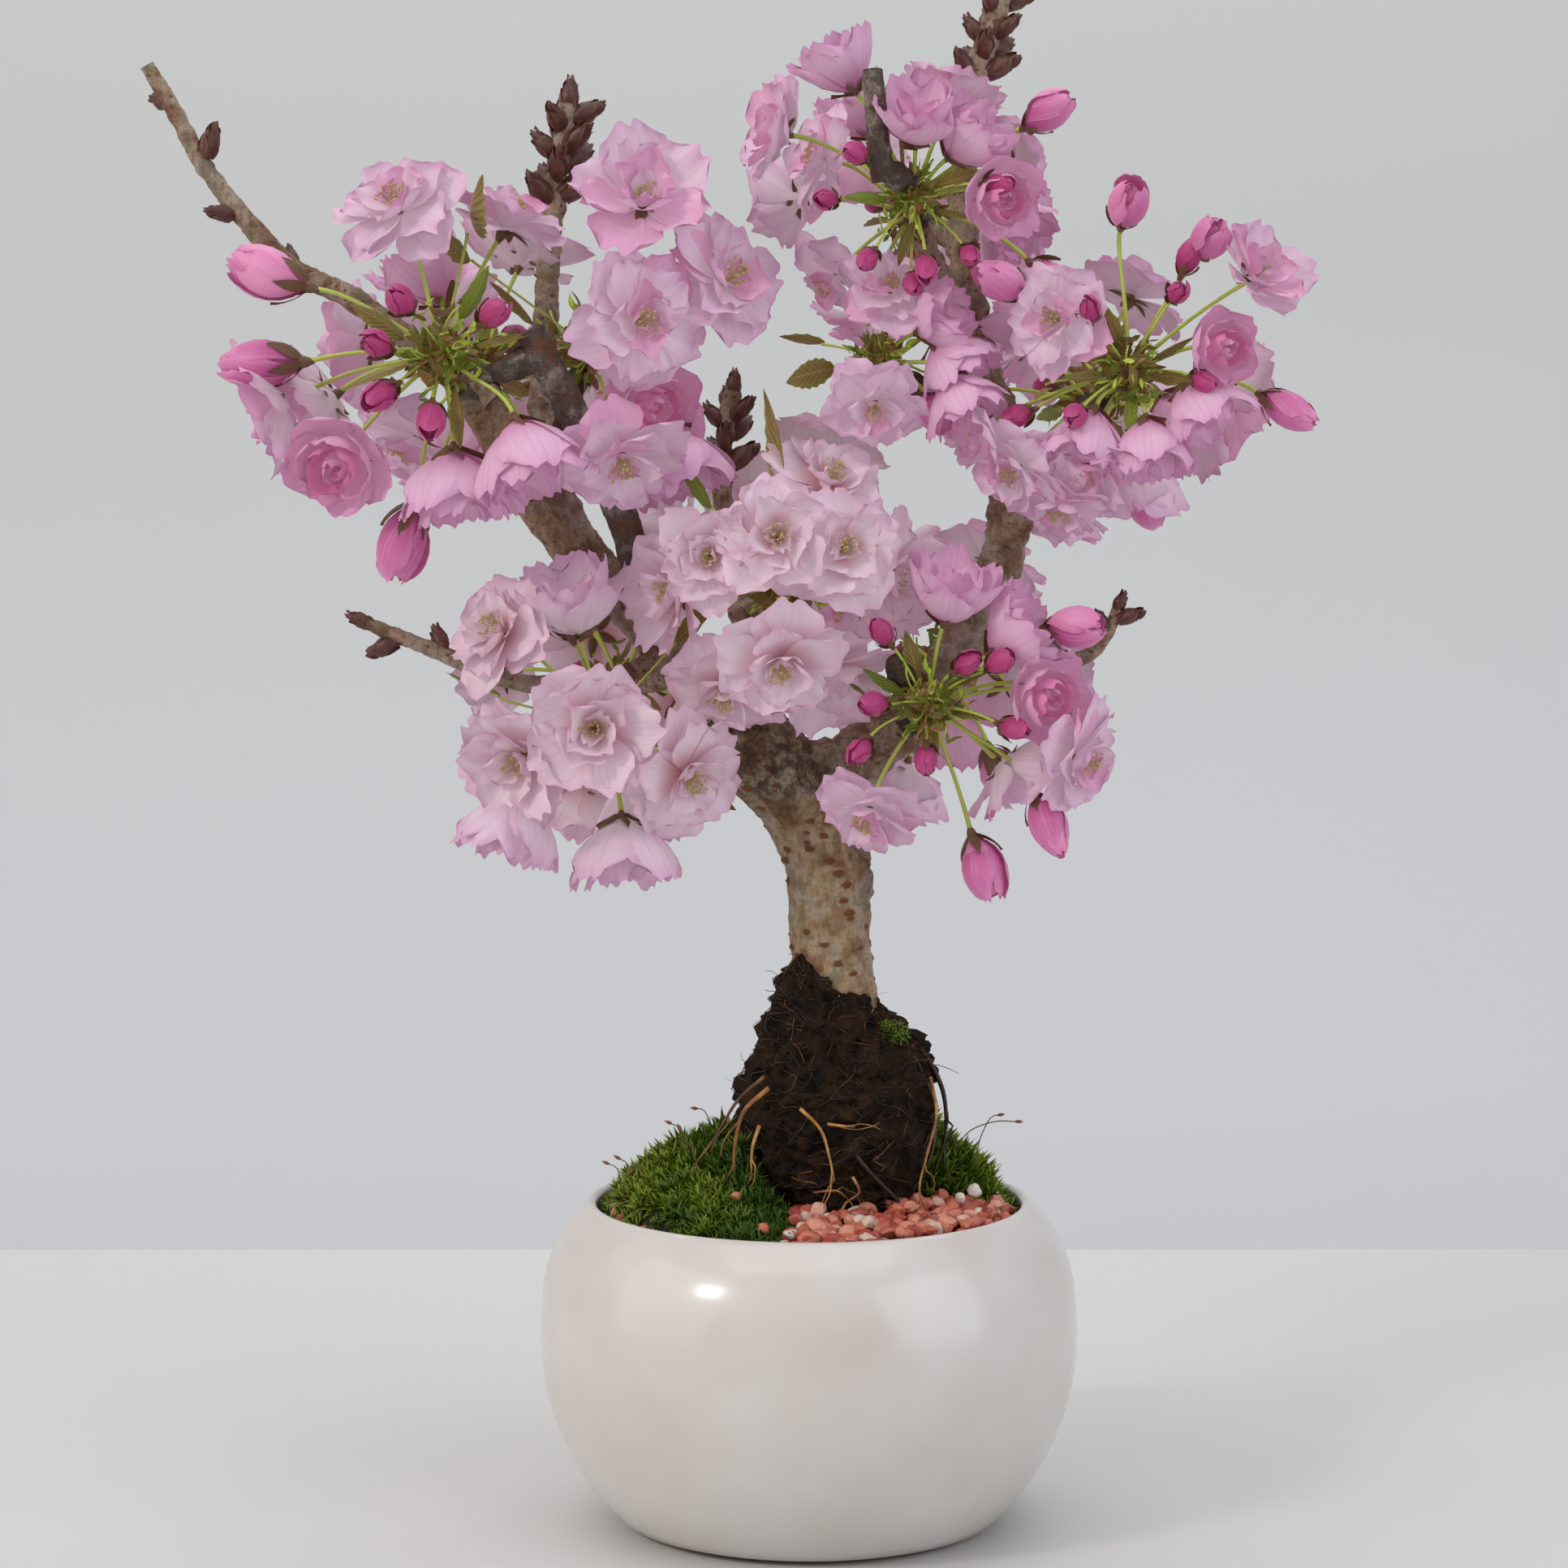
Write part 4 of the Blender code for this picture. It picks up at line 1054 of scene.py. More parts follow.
@dataclass(frozen=True)
class RootBall:
    """The bare root ball: dark earth matted with fine roots, and a few stout ones."""

    rings: tuple[tuple[float, ...], ...] = (
        (66.0, 8.0, 0.0, 14.0, 15.0), (74.0, 7.0, 0.0, 18.0, 18.0), (84.0, 6.0, 0.0, 21.5, 20.5),
        (94.0, 6.0, 0.0, 22.0, 21.0), (102.0, 6.5, 0.0, 20.5, 19.5), (110.0, 6.5, 0.0, 18.0, 17.0),
        (116.0, 4.5, -0.5, 13.0, 13.5), (121.0, 2.0, -2.5, 9.0, 9.5), (126.0, -1.0, -5.0, 4.0, 5.0),
        (129.5, -1.8, -6.0, 0.0, 0.0))
    stout: tuple[tuple[tuple[Point, ...], float, float], ...] = (
        (((-10.0, -14.0, 103.0), (-16.0, -17.0, 98.0), (-21.0, -18.5, 90.0), (-25.5, -19.0, 84.0)), 1.0, 0.62),
        (((-9.0, -17.0, 101.0), (-14.5, -19.0, 96.0), (-16.5, -19.5, 88.0), (-16.5, -19.5, 80.0)), 1.2, 0.75),
        (((-11.0, -19.0, 93.0), (-12.6, -20.5, 88.0), (-12.8, -20.5, 81.0)), 0.9, 0.95),
        (((-2.0, -20.5, 97.0), (2.5, -22.0, 92.5), (4.5, -22.3, 86.0), (5.5, -22.0, 81.0)), 0.9, 1.0),
        (((4.0, -21.6, 93.8), (7.0, -22.3, 93.5), (10.0, -21.8, 93.2)), 0.8, 0.85),
        (((9.5, -21.5, 82.0), (11.0, -21.5, 78.5), (8.0, -21.5, 76.0), (6.0, -21.5, 71.0), (7.5, -21.5, 67.5)),
         0.7, 0.8),
        (((1.0, -21.5, 78.5), (6.0, -22.0, 79.0), (8.5, -21.8, 77.0)), 0.5, 0.85),
        (((27.0, -8.0, 102.0), (28.3, -11.0, 94.0), (26.0, -13.5, 85.0), (24.5, -14.5, 77.0), (28.0, -16.5, 70.0)),
         0.8, 0.85),
        (((25.5, 0.0, 107.0), (30.0, -3.0, 98.0), (30.5, -5.0, 88.0), (28.0, -6.0, 80.0)), 1.3, 0.2),
        (((24.0, -6.0, 104.0), (28.0, -8.0, 96.0), (27.5, -9.5, 86.0), (24.5, -10.0, 79.0)), 1.2, 0.45),
        (((9.0, -21.0, 88.0), (14.0, -20.0, 82.0), (20.0, -17.0, 75.0), (23.0, -15.0, 69.0)), 1.3, 0.15))
    branches: int = 2
    threads: int = 480
    loose_each: int = 5
    seed: int = 8

    def point(self, turn: float, share: float, swell: float = 0.0) -> Vector:
        """Returns a point of the skin.

        Args:
            turn: Its angle about the ball.
            share: How far up it is, from 0 to 1.
            swell: How far it stands off the skin.

        Returns:
            The point.
        """
        z, x, y, half_x, half_y = blended(self.rings, share)
        spot = Vector((x + half_x * math.cos(turn), y + half_y * math.sin(turn), z))
        out = heading(turn)
        fade = min(1.0, half_x / 6.0)
        rough = (1.6 * lump(spot, 7.0) + 2.2 * lump(spot, 3.6) + 1.2 * lump(spot, 1.7) + 0.6 * lump(spot, 0.8)
                 - 2.6 * abs(lump(spot, 5.0)) + 0.3)
        return spot + out * (rough * fade + swell) + UP * 1.2 * lump(spot, 2.1) * fade

    def build(self, earth: bpy.types.Material, roots: bpy.types.Material) -> None:
        """Makes the ball and its roots.

        Args:
            earth: The ball's material.
            roots: The roots' material.
        """
        ball = Piece("root_ball_earth")
        weld(ball.bm, sheet(ball.bm, 200, 150, lambda u, v: self.point(math.tau * u, v)))
        ball.done(earth, ["root_ball"])
        piece = Piece("roots", "tint")
        dice = random.Random(self.seed)
        for bends, radius, shade in self.stout:
            route = curve(bends, 1.2)
            self.thread(piece, route, tapered(radius, len(route), 0.50, 0.30), shade, 8)
            for _branch in range(self.branches):
                twig = self.branch(route, dice)
                self.thread(piece, twig, tapered(radius * 0.24, len(twig)), shade, 5)
        for number in range(self.threads):
            route = self.hair(dice, leaves_ball=number % self.loose_each == 0)
            radius = dice.uniform(0.07, 0.22)
            shade = dice.choice((0.0, 0.0, 0.1, 0.2, 0.3, 0.4, 0.65))
            route = curve(route, 1.5)
            self.thread(piece, route, tapered(radius, len(route)), shade, 4)
        piece.done(roots)

    @staticmethod
    def branch(route: Sequence[Vector], dice: random.Random) -> list[Vector]:
        """Draws a fine branch of a stout root.

        Args:
            route: The stout root.
            dice: Gives the branch its own way.

        Returns:
            The branch's route.
        """
        start = dice.randrange(len(route) // 3, len(route))
        twig = [route[start]]
        way = (route[start] - route[start - 1]) * 1.2
        for _step in range(dice.randint(4, 8)):
            way += scatter(dice, (-1.0, 1.0), (-0.6, 0.5), (-0.9, 0.4))
            twig.append(twig[-1] + way.normalized() * 1.7)
        return curve(twig, 1.2)

    def hair(self, dice: random.Random, leaves_ball: bool) -> list[Vector]:
        """Draws a hair root on the ball.

        Args:
            dice: Gives it its own way.
            leaves_ball: Whether its end stands off the ball.

        Returns:
            Its bends.
        """
        turn = dice.uniform(-math.pi, math.pi)
        share = dice.uniform(0.05, 0.97)
        drift = dice.gauss(0.0, 0.10)
        fall = dice.uniform(-0.012, 0.034)
        route = []
        for _step in range(dice.randint(3, 12)):
            route.append(self.point(turn, share, dice.uniform(-0.3, 0.5)))
            turn += drift + dice.uniform(-0.09, 0.09)
            share -= fall + dice.uniform(-0.012, 0.012)
        if leaves_ball:
            way = (route[-1] - Vector((6.0, 0.0, route[-1].z - 4.0))).normalized() * dice.uniform(0.8, 1.6)
            for _step in range(dice.randint(1, 3)):
                way += scatter(dice, (-0.7, 0.7), (-0.7, 0.7), (-0.9, 0.7))
                route.append(route[-1] + way)
        return route

    @staticmethod
    def thread(piece: Piece, route: Sequence[Vector], radii: Sequence[float], shade: float, sides: int) -> None:
        """Adds one root.

        Args:
            piece: The roots.
            route: Where it runs.
            radii: Its radius at each point of the route.
            shade: How light it is, from 0 to 1.
            sides: Faces round it.
        """
        tint = piece.layer("tint")

        def paint(vert: BMVert, _v: float) -> None:
            """Sets a point's tint, with lighter and darker stretches."""
            vert[tint] = min(1.0, max(0.0, shade + 0.35 * lump(vert.co, 3.0)))

        tube(piece.bm, route, radii, sides, paint=paint)


@dataclass(frozen=True)
class Cover:
    """A sector of ground cover in the pot, seen from above between two angles in degrees."""

    first: float
    last: float
    inner_r: float = 12.0
    outer_r: float = 46.0
    foot_z: float = 66.0
    edge: float = 0.9

    def spot(self, u: float, share: float, rise: float) -> Vector:
        """Returns a point of its top.

        Args:
            u: The point's share of the way round.
            share: Its share of the way outwards.
            rise: How high the cover would be there, away from its edges.

        Returns:
            The point.
        """
        angle = math.radians(self.first + (self.last - self.first) * u)
        reach = self.inner_r + (self.outer_r - self.inner_r) * share
        slope = min(1.0, 5.0 * (0.5 - abs(u - 0.5)), 0.35 + 6.0 * (1.0 - share))
        return Vector((reach * math.cos(angle), reach * math.sin(angle),
                       self.foot_z + self.edge + rise * math.sqrt(max(0.0, slope))))


@dataclass(frozen=True)
class Moss:
    """A mound of star moss that rises from the rim to the root ball."""

    name: str
    cover: Cover
    crest: float
    height: float
    shoots: int
    seed: int
    lift: float
    shade: float
    strays: int = 0
    stray_at: Point = (18.2, -12.6, 112.0)
    shades: int = 8
    ball_x: float = 6.5
    ball_r: float = 17.5
    # painted light and shade: shoots are lighter to the left of side_x and darker towards the root ball, by
    # side_shade, up to side_span either way
    side_x: float = -27.0
    side_span: float = 16.0
    side_shade: float = 0.045

    def rise(self, u: float, share: float) -> float:
        """Returns how high the mound rises.

        Args:
            u: The share of the way round.
            share: The share of the way outwards.

        Returns:
            The height over the cover's foot.
        """
        angle = math.radians(self.cover.first + (self.cover.last - self.cover.first) * u)
        near = max(0.0, math.cos(0.9 * (angle - math.radians(self.crest))))
        place = Vector((40.0 * math.cos(angle), 40.0 * math.sin(angle), 30.0 * share))
        wave = 1.0 + 0.22 * lump(place, 9.0)
        swell = self.height * near * near * (1.0 - share) ** 0.8 + 2.0 * (1.0 - share)
        return 4.0 + swell * wave + 1.2 * lump(place, 2.4) + self.lift * near * (1.0 - share)

    def build(self, turf: bpy.types.Material, blades: bpy.types.Material) -> None:
        """Makes the mound and its shoots.

        Args:
            turf: The mound's material.
            blades: The shoots' material.
        """
        mound = Piece(self.name + "_turf")
        sheet(mound.bm, 90, 44, lambda u, v: self.cover.spot(u, v, self.rise(u, v)))
        mound.face_out()
        mound.done(turf, [self.name])
        piece = Piece(self.name + "_shoots", "tint")
        dice = random.Random(self.seed)
        stars = [self.shoot(dice, number / (self.shades - 1)) for number in range(self.shades)]
        for _ in range(self.shoots):
            self.plant(piece, stars, dice)
        for _ in range(self.strays):
            spot = Vector(self.stray_at) + Vector((dice.gauss(0, 1.6), dice.gauss(0, 0.8), dice.gauss(0, 1.5)))
            aim = Vector((0.6 + dice.uniform(-0.5, 0.5), -0.8, 0.6 + dice.uniform(-0.5, 0.5))).normalized()
            piece.add(stars[dice.choice((0, 2, 4))], aimed(spot, aim, any_turn(dice), dice.uniform(0.3, 0.6)))
        piece.done(blades)
        for star in stars:
            bpy.data.meshes.remove(star)

    def plant(self, piece: Piece, stars: Sequence[bpy.types.Mesh], dice: random.Random) -> None:
        """Sets one shoot on the mound, or none where the root ball stands.

        Args:
            piece: The shoots.
            stars: The shoots to pick from, from bright to dark.
            dice: Picks the place.
        """
        u = dice.uniform(0.012, 0.988)
        share = dice.uniform(0.10, 0.995) ** 0.75
        spot = self.cover.spot(u, share, self.rise(u, share))
        from_ball = Vector((spot.x - self.ball_x, spot.y, 0.0))
        if from_ball.length < self.ball_r:
            return
        aim = (UP * 1.4 + from_ball.normalized() * (0.3 + 0.5 * share)
               + scatter(dice, (-0.5, 0.5), (-0.5, 0.5)).to_3d()).normalized()
        size = dice.uniform(0.75, 1.45) * (1.0 if share < 0.9 else 0.7)
        # painted shade: darker towards the root ball, lighter to the left
        deep = (self.shade + 0.9 * lump(spot, 9.0) + dice.uniform(-0.2, 0.2)
                + self.side_shade * min(self.side_span, max(-self.side_span, spot.x - self.side_x)))
        last = len(stars) - 1
        star = stars[max(0, min(last, round(last * deep)))]
        piece.add(star, aimed(spot - aim * 1.4, aim, any_turn(dice), size))

    @staticmethod
    def shoot(dice: random.Random, shade: float) -> bpy.types.Mesh:
        """Makes one shoot: narrow leaves that spread from a short stem.

        Args:
            dice: Gives it its own shape.
            shade: How dark it is, from 0 to 1.

        Returns:
            The shoot.
        """
        star = Piece("shoot", "tint")
        tint = star.layer("tint")
        for number in range(12):
            turn = Matrix.Rotation(GOLDEN_TURN * number + dice.uniform(-0.3, 0.3), 3, 'Z')
            lift = math.radians(80.0 - 6.0 * number + dice.uniform(-8.0, 8.0))
            length = dice.uniform(2.4, 3.9)
            base = 2.0 - 0.15 * number

            def place(u: float, v: float) -> Vector:
                """Returns a point of the leaf."""
                half = 0.36 * (1.0 - v) ** 0.7 + 0.015
                along = length * v
                return turn @ Vector((along * math.cos(lift) + 0.5 * v * v, (u - 0.5) * 2.0 * half,
                                      base + along * math.sin(lift) - 0.6 * v * v))

            def paint(vert: BMVert, _u: float, _v: float) -> None:
                """Sets a point's tint."""
                vert[tint] = shade

            sheet(star.bm, 1, 2, place, paint=paint)
        return star.mesh()


MOSSES = (
    Moss("moss_left", Cover(112.0, 262.0), crest=185.0, height=19.0, shoots=1300, seed=31, lift=0.0, shade=0.48),
    Moss("moss_right", Cover(-8.0, 110.0), crest=20.0, height=20.0, shoots=1050, seed=32, lift=8.5, shade=-0.62,
         strays=18),
)


@dataclass(frozen=True)
class Setae:
    """The hair-thin stalks of the moss, each with its capsule."""

    stalks: tuple[tuple[Point, ...], ...] = (
        ((-40.0, -14.0, 73.0), (-41.5, -14.5, 78.0), (-42.5, -15.0, 82.5), (-44.2, -15.0, 83.6)),
        ((-37.5, -12.0, 74.0), (-39.5, -12.5, 79.0), (-40.3, -12.5, 83.0), (-41.8, -12.5, 84.2)),
        ((-36.0, -13.0, 75.0), (-36.4, -13.0, 80.0), (-38.0, -13.0, 82.8), (-39.0, -13.0, 82.0)),
        ((-24.0, -16.0, 82.0), (-25.5, -17.0, 86.0), (-27.0, -18.0, 89.5), (-28.2, -18.0, 91.6)),
        ((-27.0, -10.0, 83.0), (-28.5, -11.0, 87.0), (-29.0, -11.5, 91.0), (-30.4, -11.5, 92.0)),
        ((33.0, 6.0, 83.0), (36.5, 5.0, 87.5), (42.0, 4.0, 89.8), (46.5, 3.0, 90.0)),
        ((38.0, 20.0, 78.0), (40.0, 21.0, 84.0), (42.0, 22.0, 87.5), (43.5, 22.5, 88.0)),
        ((-20.0, 26.0, 78.0), (-22.0, 27.0, 84.0), (-24.0, 28.0, 88.0), (-25.5, 28.5, 88.5)))
    radius: float = 0.13
    capsule: float = 0.42
    capsule_step: float = 0.28
    capsule_shares: tuple[float, ...] = (0.6, 0.9, 1.0, 0.95, 0.7, 0.35, 0.15)

    def build(self, finish: bpy.types.Material) -> None:
        """Makes the stalks.

        Args:
            finish: Their material.
        """
        piece = Piece("moss_stalks", "tint")
        tint = piece.layer("tint")
        for bends in self.stalks:
            route = curve(bends, 0.9)
            tip = (route[-1] - route[-2]).normalized()
            radii = [self.radius] * len(route)
            for share in self.capsule_shares:
                route.append(route[-1] + tip * self.capsule_step)
                radii.append(self.capsule * share)

            def paint(vert: BMVert, v: float) -> None:
                """Sets a point's tint, lighter towards the capsule."""
                vert[tint] = 0.55 + 0.2 * v

            tube(piece.bm, route, radii, 6, paint=paint)
        piece.done(finish)


@dataclass(frozen=True)
class Gravel:
    """Pink and white gravel, with a few stray grains elsewhere in the pot."""

    cover: Cover = Cover(-96.5, -9.5)
    grains: int = 330
    white_each: int = 9
    near_r: float = 17.0
    far_r: float = 45.6
    top_z: float = 71.0
    crown_r: float = 38.0
    strays: tuple[tuple[float, float, float, float], ...] = (
        (-43.0, -10.0, 71.5, 0.5), (-41.0, -15.0, 71.2, 0.3), (-43.5, -4.0, 71.5, 0.8), (-39.0, -20.0, 71.0, 0.4),
        (-42.0, 2.0, 71.4, 0.6), (-41.5, -7.0, 72.3, 0.3), (-36.5, -25.0, 70.8, 0.5), (-10.0, -36.5, 73.6, 0.35),
        (-4.0, -37.5, 72.4, 1.0), (-5.5, -42.5, 71.0, 0.85), (-1.5, -34.0, 73.4, 0.9), (37.0, -9.0, 76.5, 1.0),
        (33.5, -14.0, 76.0, 0.95), (-16.0, -26.0, 78.5, 0.5), (42.5, 3.0, 73.0, 0.9), (43.5, 8.0, 72.0, 0.7),
        (40.0, 18.0, 72.5, 0.4), (-20.0, 38.0, 72.0, 0.6), (14.0, 42.5, 71.5, 0.9))
    seed: int = 21

    def build(self, bed: bpy.types.Material, stones: bpy.types.Material) -> None:
        """Makes the bed and its grains.

        Args:
            bed: The material of the bed under the grains.
            stones: The grains' material.
        """
        ground = Piece("gravel_ground")
        sheet(ground.bm, 60, 30,
              lambda u, v: self.cover.spot(u, v, 2.2 + 0.5 * math.sin(17.0 * u) * math.sin(9.0 * v)))
        ground.face_out()
        ground.done(bed, ["gravel"])
        piece = Piece("gravel_stones", "tint")
        dice = random.Random(self.seed)
        for number in range(self.grains):
            angle = math.radians(dice.uniform(self.cover.first - 1.0, self.cover.last + 3.0))
            reach = math.sqrt(dice.uniform(self.near_r ** 2, self.far_r ** 2))
            pile = (self.top_z + dice.uniform(-0.8, 2.6) + 0.05 * (self.crown_r - reach)
                    + lump(Vector((reach, 12.0 * angle, 0.0)), 8.0) - 0.02 * max(0.0, reach - self.crown_r))
            spot = Vector((reach * math.cos(angle), reach * math.sin(angle), pile))
            white = number % self.white_each == 0
            shade = dice.uniform(0.75, 1.0) if white else min(1.0, abs(dice.gauss(0.30, 0.20)))
            self.grain(piece, spot, dice.uniform(1.5, 2.9), shade, dice)
        for *spot, shade in self.strays:
            self.grain(piece, Vector(spot), dice.uniform(1.4, 2.1), shade, dice)
        piece.done(stones, sharp=24.0)

    @staticmethod
    def grain(piece: Piece, spot: Vector, size: float, shade: float, dice: random.Random) -> None:
        """Adds one stone with blunt facets.

        Args:
            piece: The stones.
            spot: Its centre.
            size: Its radius.
            shade: How white it is, from 0 to 1.
            dice: Gives it its own shape.
        """
        tint = piece.layer("tint")
        made = bmesh.ops.create_icosphere(piece.bm, subdivisions=2, radius=1.0)["verts"]
        shift = scatter(dice, (0.0, 50.0), (0.0, 50.0), (0.0, 50.0))
        turn = Matrix.Rotation(any_turn(dice), 3, 'Z') @ Matrix.Rotation(any_turn(dice), 3, 'X')
        stretch = Vector((1.0, dice.uniform(0.65, 0.95), dice.uniform(0.55, 0.85))) * size
        cuts = [Vector((dice.gauss(0, 1), dice.gauss(0, 1), dice.gauss(0, 1))).normalized() for _ in range(7)]
        for vert in made:
            point = vert.co * (1.0 + 0.22 * noise.noise(vert.co * 1.3 + shift))
            for cut in cuts:
                past = point.dot(cut) - 0.74
                if past > 0.0:
                    point -= cut * past
            vert.co = spot + turn @ Vector(p * s for p, s in zip(point, stretch))
            vert[tint] = shade


# ---------------------------------------------------------------- trunk and boughs

@dataclass(frozen=True)
class Limb:
    """A tapering limb: its bends, its radii at root and tip, its winter buds and its bark."""

    name: str
    bends: tuple[Point, ...]
    root_r: float
    tip_r: float
    buds: int = 0
    buds_from: float = 0.5
    bud: float = 8.0
    wood: Wood = Wood.TWIG
    end_bud: bool = True

    def radius(self, share: float) -> float:
        """Returns its radius a share of the way along."""
        return self.tip_r + (self.root_r - self.tip_r) * (1.0 - share) ** 1.2


LIMBS = (
    Limb("left_bough", ((-8.0, 1.0, 171.0), (-16.7, 3.0, 182.5), (-35.8, 6.0, 201.0), (-51.2, 8.0, 220.5),
                        (-57.6, 9.5, 233.0), (-73.0, 12.0, 251.5)), 6.2, 3.5),
    Limb("left_tip", ((-72.0, 12.0, 250.4), (-88.0, 13.5, 264.0), (-103.0, 14.0, 275.0), (-115.5, 13.0, 281.5),
                      (-126.5, 12.0, 293.0), (-134.7, 11.0, 304.0), (-140.7, 9.0, 315.5), (-146.8, 8.0, 326.0)),
         3.4, 1.7, 4, 0.50, 7.5, end_bud=False),
    Limb("pale_bough", ((-54.0, 6.0, 219.0), (-62.5, 0.0, 229.0), (-70.0, -6.0, 243.0), (-75.5, -10.0, 253.0)),
         3.2, 2.4, wood=Wood.STRIPPED),
    Limb("cut_branch", ((-36.0, 4.0, 207.0), (-41.0, -8.0, 226.0), (-49.5, -14.0, 245.0), (-57.0, -17.5, 260.0),
                        (-60.5, -18.5, 267.5)), 3.6, 3.4, wood=Wood.GREY),
    Limb("left_rear_twig", ((-57.5, 12.0, 233.0), (-60.2, 20.0, 250.0), (-59.8, 26.0, 269.0), (-58.0, 30.0, 296.0),
                            (-54.7, 32.0, 319.0)), 3.4, 2.2, 11, 0.72, 9.5),
    Limb("middle_rear_twig", ((-13.0, 4.0, 179.0), (-13.5, 20.0, 192.0), (-18.0, 34.0, 216.0), (-20.0, 38.0, 236.0),
                              (-17.5, 40.0, 254.0)), 3.2, 2.0, 9, 0.72, 8.0),
    Limb("left_bare_twig", ((-30.0, 5.0, 196.0), (-45.0, 4.0, 190.0), (-64.7, 2.0, 189.5), (-86.2, 0.0, 197.8),
                            (-98.5, -2.0, 203.0)), 2.4, 1.6, 3, 0.55, 7.0),
    Limb("lower_left_bough", ((-10.0, 0.0, 169.0), (-22.5, -2.0, 167.6), (-31.0, -5.0, 171.0), (-39.0, -8.0, 176.0)),
         3.6, 2.6),
    Limb("snag", ((-10.0, -2.0, 177.0), (-11.5, -4.5, 186.0), (-13.6, -6.5, 197.5)), 2.6, 1.5, wood=Wood.GREY),
    Limb("centre_bough", ((-17.0, 2.0, 182.0), (-12.5, -2.0, 191.0), (-8.5, -9.0, 203.0)), 3.6, 2.6),
    Limb("right_bough", ((-3.0, 2.0, 168.0), (10.0, 4.0, 172.0), (23.0, 8.0, 182.0), (33.7, 10.0, 196.0),
                         (42.0, 9.0, 212.5), (44.8, 8.0, 226.0), (43.5, 8.0, 240.0), (41.5, 8.0, 251.0)), 7.4, 4.2),
    Limb("right_tip", ((41.9, 8.0, 249.6), (38.8, 9.5, 260.0), (34.5, 13.0, 285.0), (34.8, 17.0, 304.0),
                       (36.5, 20.0, 320.0), (41.0, 23.0, 336.0), (45.4, 26.0, 349.0)), 4.0, 2.6, 12, 0.68, 8.0),
    Limb("right_side_bough", ((44.0, 7.0, 222.0), (51.0, 2.0, 233.0), (58.0, -4.0, 244.0), (64.0, -9.0, 251.5)),
         4.2, 2.8),
    Limb("top_bough", ((36.9, 11.0, 268.0), (31.0, 5.0, 276.0), (26.0, -1.0, 285.0), (23.6, -4.5, 290.0)), 2.9, 2.4),
    Limb("inner_bough", ((43.5, 8.0, 236.0), (34.0, 5.0, 246.0), (23.0, -1.0, 256.0)), 2.8, 2.2),
    Limb("right_bare_twig", ((36.5, 10.0, 199.0), (48.0, 8.0, 193.0), (61.0, 6.0, 194.6), (66.0, 5.0, 199.0),
                             (69.0, 4.0, 206.0)), 2.4, 1.3, 3, 0.66, 6.0),
    Limb("lower_right_bough", ((12.5, 3.0, 174.0), (17.0, -6.0, 177.0), (21.5, -13.0, 181.0)), 3.4, 2.4),
    Limb("rear_upper_left_bough", ((-66.0, 11.5, 243.0), (-70.0, 22.0, 248.0), (-73.0, 33.0, 255.0)), 2.8, 2.2),
    Limb("rear_centre_bough", ((-15.5, 27.0, 203.0), (-10.0, 32.0, 207.0), (-7.0, 35.0, 210.5)), 2.6, 2.0),
    Limb("rear_lower_left_bough", ((-28.0, 5.0, 193.0), (-34.0, 16.0, 189.0), (-39.0, 26.0, 187.0)), 3.0, 2.2),
    Limb("rear_lower_right_bough", ((26.0, 9.0, 186.0), (29.0, 18.0, 187.5), (30.0, 25.0, 189.0)), 3.0, 2.2),
    Limb("rear_top_bough", ((35.0, 14.0, 288.0), (30.0, 22.0, 289.0), (27.0, 28.0, 291.5)), 2.6, 2.0),
    Limb("rear_right_bough", ((44.2, 8.5, 231.0), (53.0, 18.0, 240.0), (59.0, 25.0, 246.0)), 3.2, 2.4),
)
BOUGHS = {limb.name: limb for limb in LIMBS}
DEAD_WOOD = (
    (((16.2, -14.0, 299.5), (15.0, -14.5, 307.0), (14.2, -14.0, 315.0), (13.6, -13.0, 323.5)),
     (2.9, 2.6, 2.4, 2.3), 0.35),
    (((22.0, -10.0, 299.0), (18.0, -14.5, 301.0), (14.8, -14.5, 303.0)), (2.4, 3.0, 1.6), 1.0),
    (((-59.5, -18.0, 262.0), (-64.0, -19.0, 259.5), (-69.0, -18.5, 258.0)), (3.2, 3.0, 2.0), 1.0),
    (((22.0, -19.0, 189.0), (19.5, -21.0, 194.0), (18.5, -22.0, 196.5)), (2.2, 3.2, 2.0), 1.0),
)


class BarkPainter:
    """Sets the numbers that the bark's finish reads."""

    def __init__(self, piece: Piece) -> None:
        """Finds the numbers on a piece."""
        self.layers = [piece.layer(name) for name in BARK_MARKS]

    def set(self, vert: BMVert, wood: Wood, pore: float, burr: float) -> None:
        """Sets one point.

        Args:
            vert: The point.
            wood: Its kind of bark.
            pore: Whether it is on a pore, from 0 to 1.
            burr: How burred and dark it is, from 0 to 1; it also deepens the painted shade in the bark's hollows.
        """
        for layer, value in zip(self.layers, (wood.value, pore, burr)):
            vert[layer] = value


